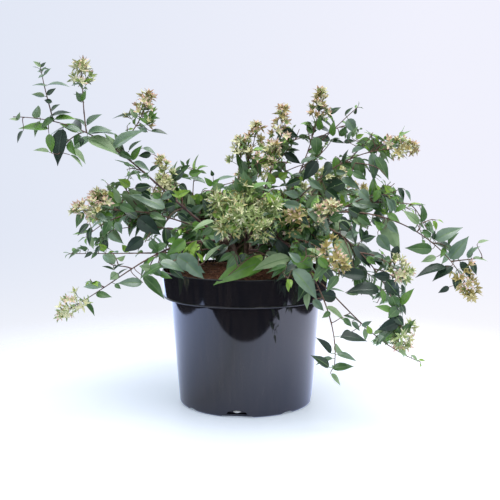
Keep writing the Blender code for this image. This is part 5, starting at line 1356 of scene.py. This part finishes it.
# Crown
# Each stem's shoots are clothed in turn: first the leaves that the photograph shows plainly, then the
# seeded pairs, sprays and blossom, which leave those and the gaps in view, and last short twigs inside.
SEEDED_SPRAYS = 2.1
BACK_FROM = 60
BACK_BLOSSOM = 0.07
INNER_TWIGS = 9
SPOTS = 60
DEPTH_WEIGHT = 6 * MM
TOO_FAR = 1e6
TWIG_LEAF_SHARE = {"leaves": 0.85, "tuft": 0.42}
BLOSSOM_LEAF_SHARE = 0.62
SIDE_LEAF_SHARE, INNER_LEAF_SHARE, TIP_LEAF_SHARE, TUFT_LEAF_SHARE = 0.88, 0.85, 0.55, 0.45


def twig_curves(shoot):
    """The curves of a shoot's listed twigs."""
    begin = bare_share(shoot)
    curve = shoot_curve(shoot)
    curves = []
    for twig in shoot.twigs:
        start = point_on(curve, begin + (1 - begin) * twig.at)
        curves.append(arch(start, np.array(twig.tip) * MM, twig.rise, twig.fall))
    return curves


def share_out():
    """For each shoot, its seen leaves, each with the curve, share and depth of the point that bears it."""
    spots, owners = [], []
    for shoot in SHOOTS:
        begin = shoot.bare * 0.55 if shoot.bare else UNSEEN_BARE
        for curve, low in [(shoot_curve(shoot), begin), *[(curve, 0.1) for curve in twig_curves(shoot)]]:
            for t in np.linspace(low, 1, SPOTS):
                spots.append(point_on(curve, t))
                owners.append((shoot.name, curve, t))
    pixels = pixels_of(spots)
    borne = {shoot.name: [] for shoot in SHOOTS}
    for seen in SEEN_LEAVES:
        aside = np.hypot(pixels[:, 0] - seen.foot_u, pixels[:, 1] - seen.foot_v)
        near = aside < max(aside.min() + 2, SEEN_SPREAD)
        best = int(np.argmin(aside + pixels[:, 2] / DEPTH_WEIGHT + np.where(near, 0, TOO_FAR)))
        name, curve, t = owners[best]
        borne[name].append((seen, curve, t, pixels[best, 2]))
    return borne


def screen(seen, depth):
    """What a seen leaf hides: its foot and its run in pixels, its half width, and how far away it is."""
    return seen.foot_u, seen.foot_v, seen.tip_u - seen.foot_u, seen.tip_v - seen.foot_v, seen.wide / 2, depth


SEEN_BY_SHOOT = share_out()
SCREENS = np.array([screen(seen, depth) for borne in SEEN_BY_SHOOT.values() for seen, _, _, depth in borne])


def clothe(crown, shoot):
    """Grows everything that one shoot bears: what is beyond its bough, and short twigs on the bough."""
    rng = random.Random(shoot.seed)
    crown.enter(shoot.name)
    curve = shoot_curve(shoot)
    begin = bare_share(shoot)
    longest = shoot.leaf * LEAF_SCALE * MM
    for seen, bearer, t, _ in SEEN_BY_SHOOT[shoot.name]:
        crown.seen_leaf(seen, bearer, t, rng)
    crown.wood(curve, begin, BOUGH_TIP_RADIUS, SHOOT_TIP_RADIUS, 6)
    close = 1
    if shoot.ends in PANICLES:
        size = rng.uniform(*PANICLES[shoot.ends].length) * MM
        close = 1 - size / length_of(curve)
        bear_blossom(crown, curve, size, shoot.ends, shoot.age, rng)
    crown.pairs(curve, begin + 0.03, close, longest, longest * TIP_LEAF_SHARE, shoot.age, rng)
    if shoot.ends not in PANICLES:
        crown.tuft(curve, longest * TUFT_LEAF_SHARE, shoot.age - 0.3, rng)
    for twig, own in zip(shoot.twigs, twig_curves(shoot)):
        size = longest * TWIG_LEAF_SHARE.get(twig.ends, BLOSSOM_LEAF_SHARE)
        crown.spray(own, twig.ends, size, shoot.age - 0.1, 0 if twig.ends == "tuft" else 1, rng, listed=True)
    count = round(shoot.sides * SEEDED_SPRAYS)
    blossom = BACK_BLOSSOM if shoot.tip[1] > BACK_FROM else 0.0
    for i in range(count):
        t = begin + (close - begin) * (i + rng.uniform(0.1, 0.9)) / count
        size = longest * SIDE_LEAF_SHARE
        crown.side_twig(curve, t, size, SPRAY_LENGTH, shoot.age - 0.05, 2, blossom, rng)
    crown.mass = None
    inner_rng = random.Random(-shoot.seed)
    for i in range(INNER_TWIGS if shoot.bare else 0):
        t = shoot.bare * (0.25 + 0.75 * (i + inner_rng.random()) / INNER_TWIGS)
        size = longest * INNER_LEAF_SHARE
        crown.side_twig(curve, t, size, SIDE_TWIG_LENGTH, shoot.age - 0.1, 0, 0, inner_rng)


for stem in STEMS:
    crown = Crown()
    own_shoots = [shoot for shoot in SHOOTS if shoot.stem == stem.name]
    for shoot in own_shoots:
        clothe(crown, shoot)
    leaves = crown.leaves.make("leaves_" + stem.name, leaf_skins, sharp=50)
    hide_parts(*["foliage_" + shoot.name for shoot in own_shoots])
    twigs = crown.twigs.make("twigs_" + stem.name, [twig_bark, green_stalk], sharp=None)
    blossom = crown.blossom.make("blossom_" + stem.name, blossom_skins, sharp=60)
    for piece in (leaves, twigs, blossom):
        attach(piece, "root")

# Studio
# The pot stands near the front edge of a white tabletop in a bright surround, under one wide soft
# lamp. Dark beyond the front edge is what the pot's glossy wall mirrors above its reflection. The
# tabletop also glows, which is painted light: brightly for every ray but the camera's, so that it
# lights the plant and shines in the pot's wall, and faintly where it is seen straight on, which
# lightens the shade round the pot's foot.
TABLE_FRONT = -0.355
TABLE_HALF_WIDTH = 0.52
FLOOR_REACH = 1.8
FADE_START = 0.12
FADE_END = 0.75
LAMINATE = (0.86, 0.88, 0.92)
# Painted light: the tabletop glows. These are the tints and strengths of its glow for rays from elsewhere and
# for the camera's rays.
MIRRORED_GLOW_TINT_LEFT, MIRRORED_GLOW_TINT_RIGHT = (0.60, 0.88, 1.85), (0.88, 0.94, 1.4)
DIRECT_GLOW_TINT_LEFT, DIRECT_GLOW_TINT_RIGHT = (0.80, 1.03, 1.25), (1.0, 1.0, 1.05)
TINT_FROM, TINT_TO = -0.15, 0.35
GLOW_MIDDLE = -0.1
GLOW_REACH = 0.45
GLOW_LEAST, GLOW_MOST = 0.15, 1.15
SHADE_LIFTING_GLOW_LEFT, SHADE_LIFTING_GLOW_RIGHT = 0.16, 0.32
SKY_LEFT, SKY_RIGHT = (0.76, 0.805, 0.915), (0.88, 0.885, 0.985)
LOW_SKY_LEFT, LOW_SKY_RIGHT = (0.945, 0.955, 1.0), (1.0, 0.995, 1.0)
SKY_FROM, SKY_TO = -0.28, 0.2
HORIZON, SKY_FOOT, ROOM_TOP = -0.06, -0.235, 0.02
SURROUND = (0.96, 1.02, 1.14)
DARK_ROOM = (0.032, 0.03, 0.032)
LAMP_SIZE = 1.2
LAMP_POWER = 17
LAMP_PLACE = (0.3, -0.12, 1.8)

camera_data = bpy.data.cameras.new("camera")
camera_data.lens = CAMERA_LENS
camera_data.sensor_width = CAMERA_SENSOR
camera = object_from("camera", camera_data)
camera.location = CAMERA_PLACE
camera.rotation_euler = (math.pi / 2 - CAMERA_DIP, 0, 0)
bpy.context.scene.camera = camera
bpy.context.scene.view_settings.view_transform = "Standard"


def tabletop():
    """White laminate that lights the pot's wall brightly by glowing, which is painted light.

    Mirrored in the pot it is a table with a front edge and sides; seen straight on it fades out all
    round, so that no horizon or edge shows. For every ray but the camera's it glows brightly and bluish,
    bluer to the left and strongest towards its sides; seen straight on it glows faintly, more to the
    right, which lightens the shade round the pot's foot.
    """
    material, tree, shader = new_finish("white_laminate", LAMINATE, 0.5)
    place = add_node(tree, "ShaderNodeTexCoord").outputs["Object"]
    x, y, _ = add_node(tree, "ShaderNodeSeparateXYZ", {0: place}).outputs
    away = add_node(tree, "ShaderNodeVectorMath", {0: place}, operation="LENGTH").outputs["Value"]
    fade = stretch(tree, away, FADE_START, FADE_END, 1.0, 0.0, interpolation_type="SMOOTHSTEP")
    by_camera = add_node(tree, "ShaderNodeLightPath").outputs["Is Camera Ray"]
    within = maths(tree, "LESS_THAN", maths(tree, "ABSOLUTE", x), TABLE_HALF_WIDTH)
    table = maths(tree, "MULTIPLY", within, maths(tree, "GREATER_THAN", y, TABLE_FRONT))
    tree.links.new(blend(tree, by_camera, table, fade), shader.inputs["Alpha"])
    side = stretch(tree, x, TINT_FROM, TINT_TO)
    # Painted light: the tabletop's glow, bluer to the left, strong for other rays and faint for the camera's
    # rays.
    mirrored_glow_tint = mix_colours(tree, side, MIRRORED_GLOW_TINT_LEFT, MIRRORED_GLOW_TINT_RIGHT)
    direct = mix_colours(tree, side, DIRECT_GLOW_TINT_LEFT, DIRECT_GLOW_TINT_RIGHT)
    tree.links.new(mix_colours(tree, by_camera, mirrored_glow_tint, direct), shader.inputs["Emission Color"])
    ends = stretch(tree, maths(tree, "ABSOLUTE", maths(tree, "SUBTRACT", x, GLOW_MIDDLE)), 0.0, GLOW_REACH)
    glow = blend(tree, ends, GLOW_LEAST, GLOW_MOST)
    lift = blend(tree, side, SHADE_LIFTING_GLOW_LEFT, SHADE_LIFTING_GLOW_RIGHT)
    tree.links.new(blend(tree, by_camera, glow, lift), shader.inputs["Emission Strength"])
    return material


floor_mesh = bpy.data.meshes.new("tabletop")
corners = [(x * FLOOR_REACH, y * FLOOR_REACH, 0) for x, y in ((-1, -1), (1, -1), (1, 1), (-1, 1))]
floor_mesh.from_pydata(corners, [], [(0, 1, 2, 3)])
floor_mesh.materials.append(tabletop())
floor = object_from("tabletop", floor_mesh)

lamp_data = bpy.data.lights.new("softbox", "AREA")
lamp_data.size = LAMP_SIZE
lamp_data.energy = LAMP_POWER
lamp = object_from("softbox", lamp_data)
lamp.location = LAMP_PLACE

world = bpy.data.worlds.new("surround")
bpy.context.scene.world = world
world.use_nodes = True
sky = world.node_tree
sky.nodes.clear()
ray = add_node(sky, "ShaderNodeTexCoord").outputs["Generated"]
right, _, upward = add_node(sky, "ShaderNodeSeparateXYZ", {0: ray}).outputs
side = stretch(sky, right, SKY_FROM, SKY_TO)
high = mix_colours(sky, side, SKY_LEFT, SKY_RIGHT)
low = mix_colours(sky, side, LOW_SKY_LEFT, LOW_SKY_RIGHT)
down = maths(sky, "POWER", stretch(sky, upward, HORIZON, SKY_FOOT), 2.0)
direct = mix_colours(sky, down, high, low)
room = mix_colours(sky, stretch(sky, upward, HORIZON, ROOM_TOP), DARK_ROOM, SURROUND)
by_camera = add_node(sky, "ShaderNodeLightPath").outputs["Is Camera Ray"]
seen = mix_colours(sky, by_camera, room, direct)
glow = add_node(sky, "ShaderNodeBackground", {"Color": seen, "Strength": 1.0})
out = add_node(sky, "ShaderNodeOutputWorld")
sky.links.new(glow.outputs[0], out.inputs["Surface"])
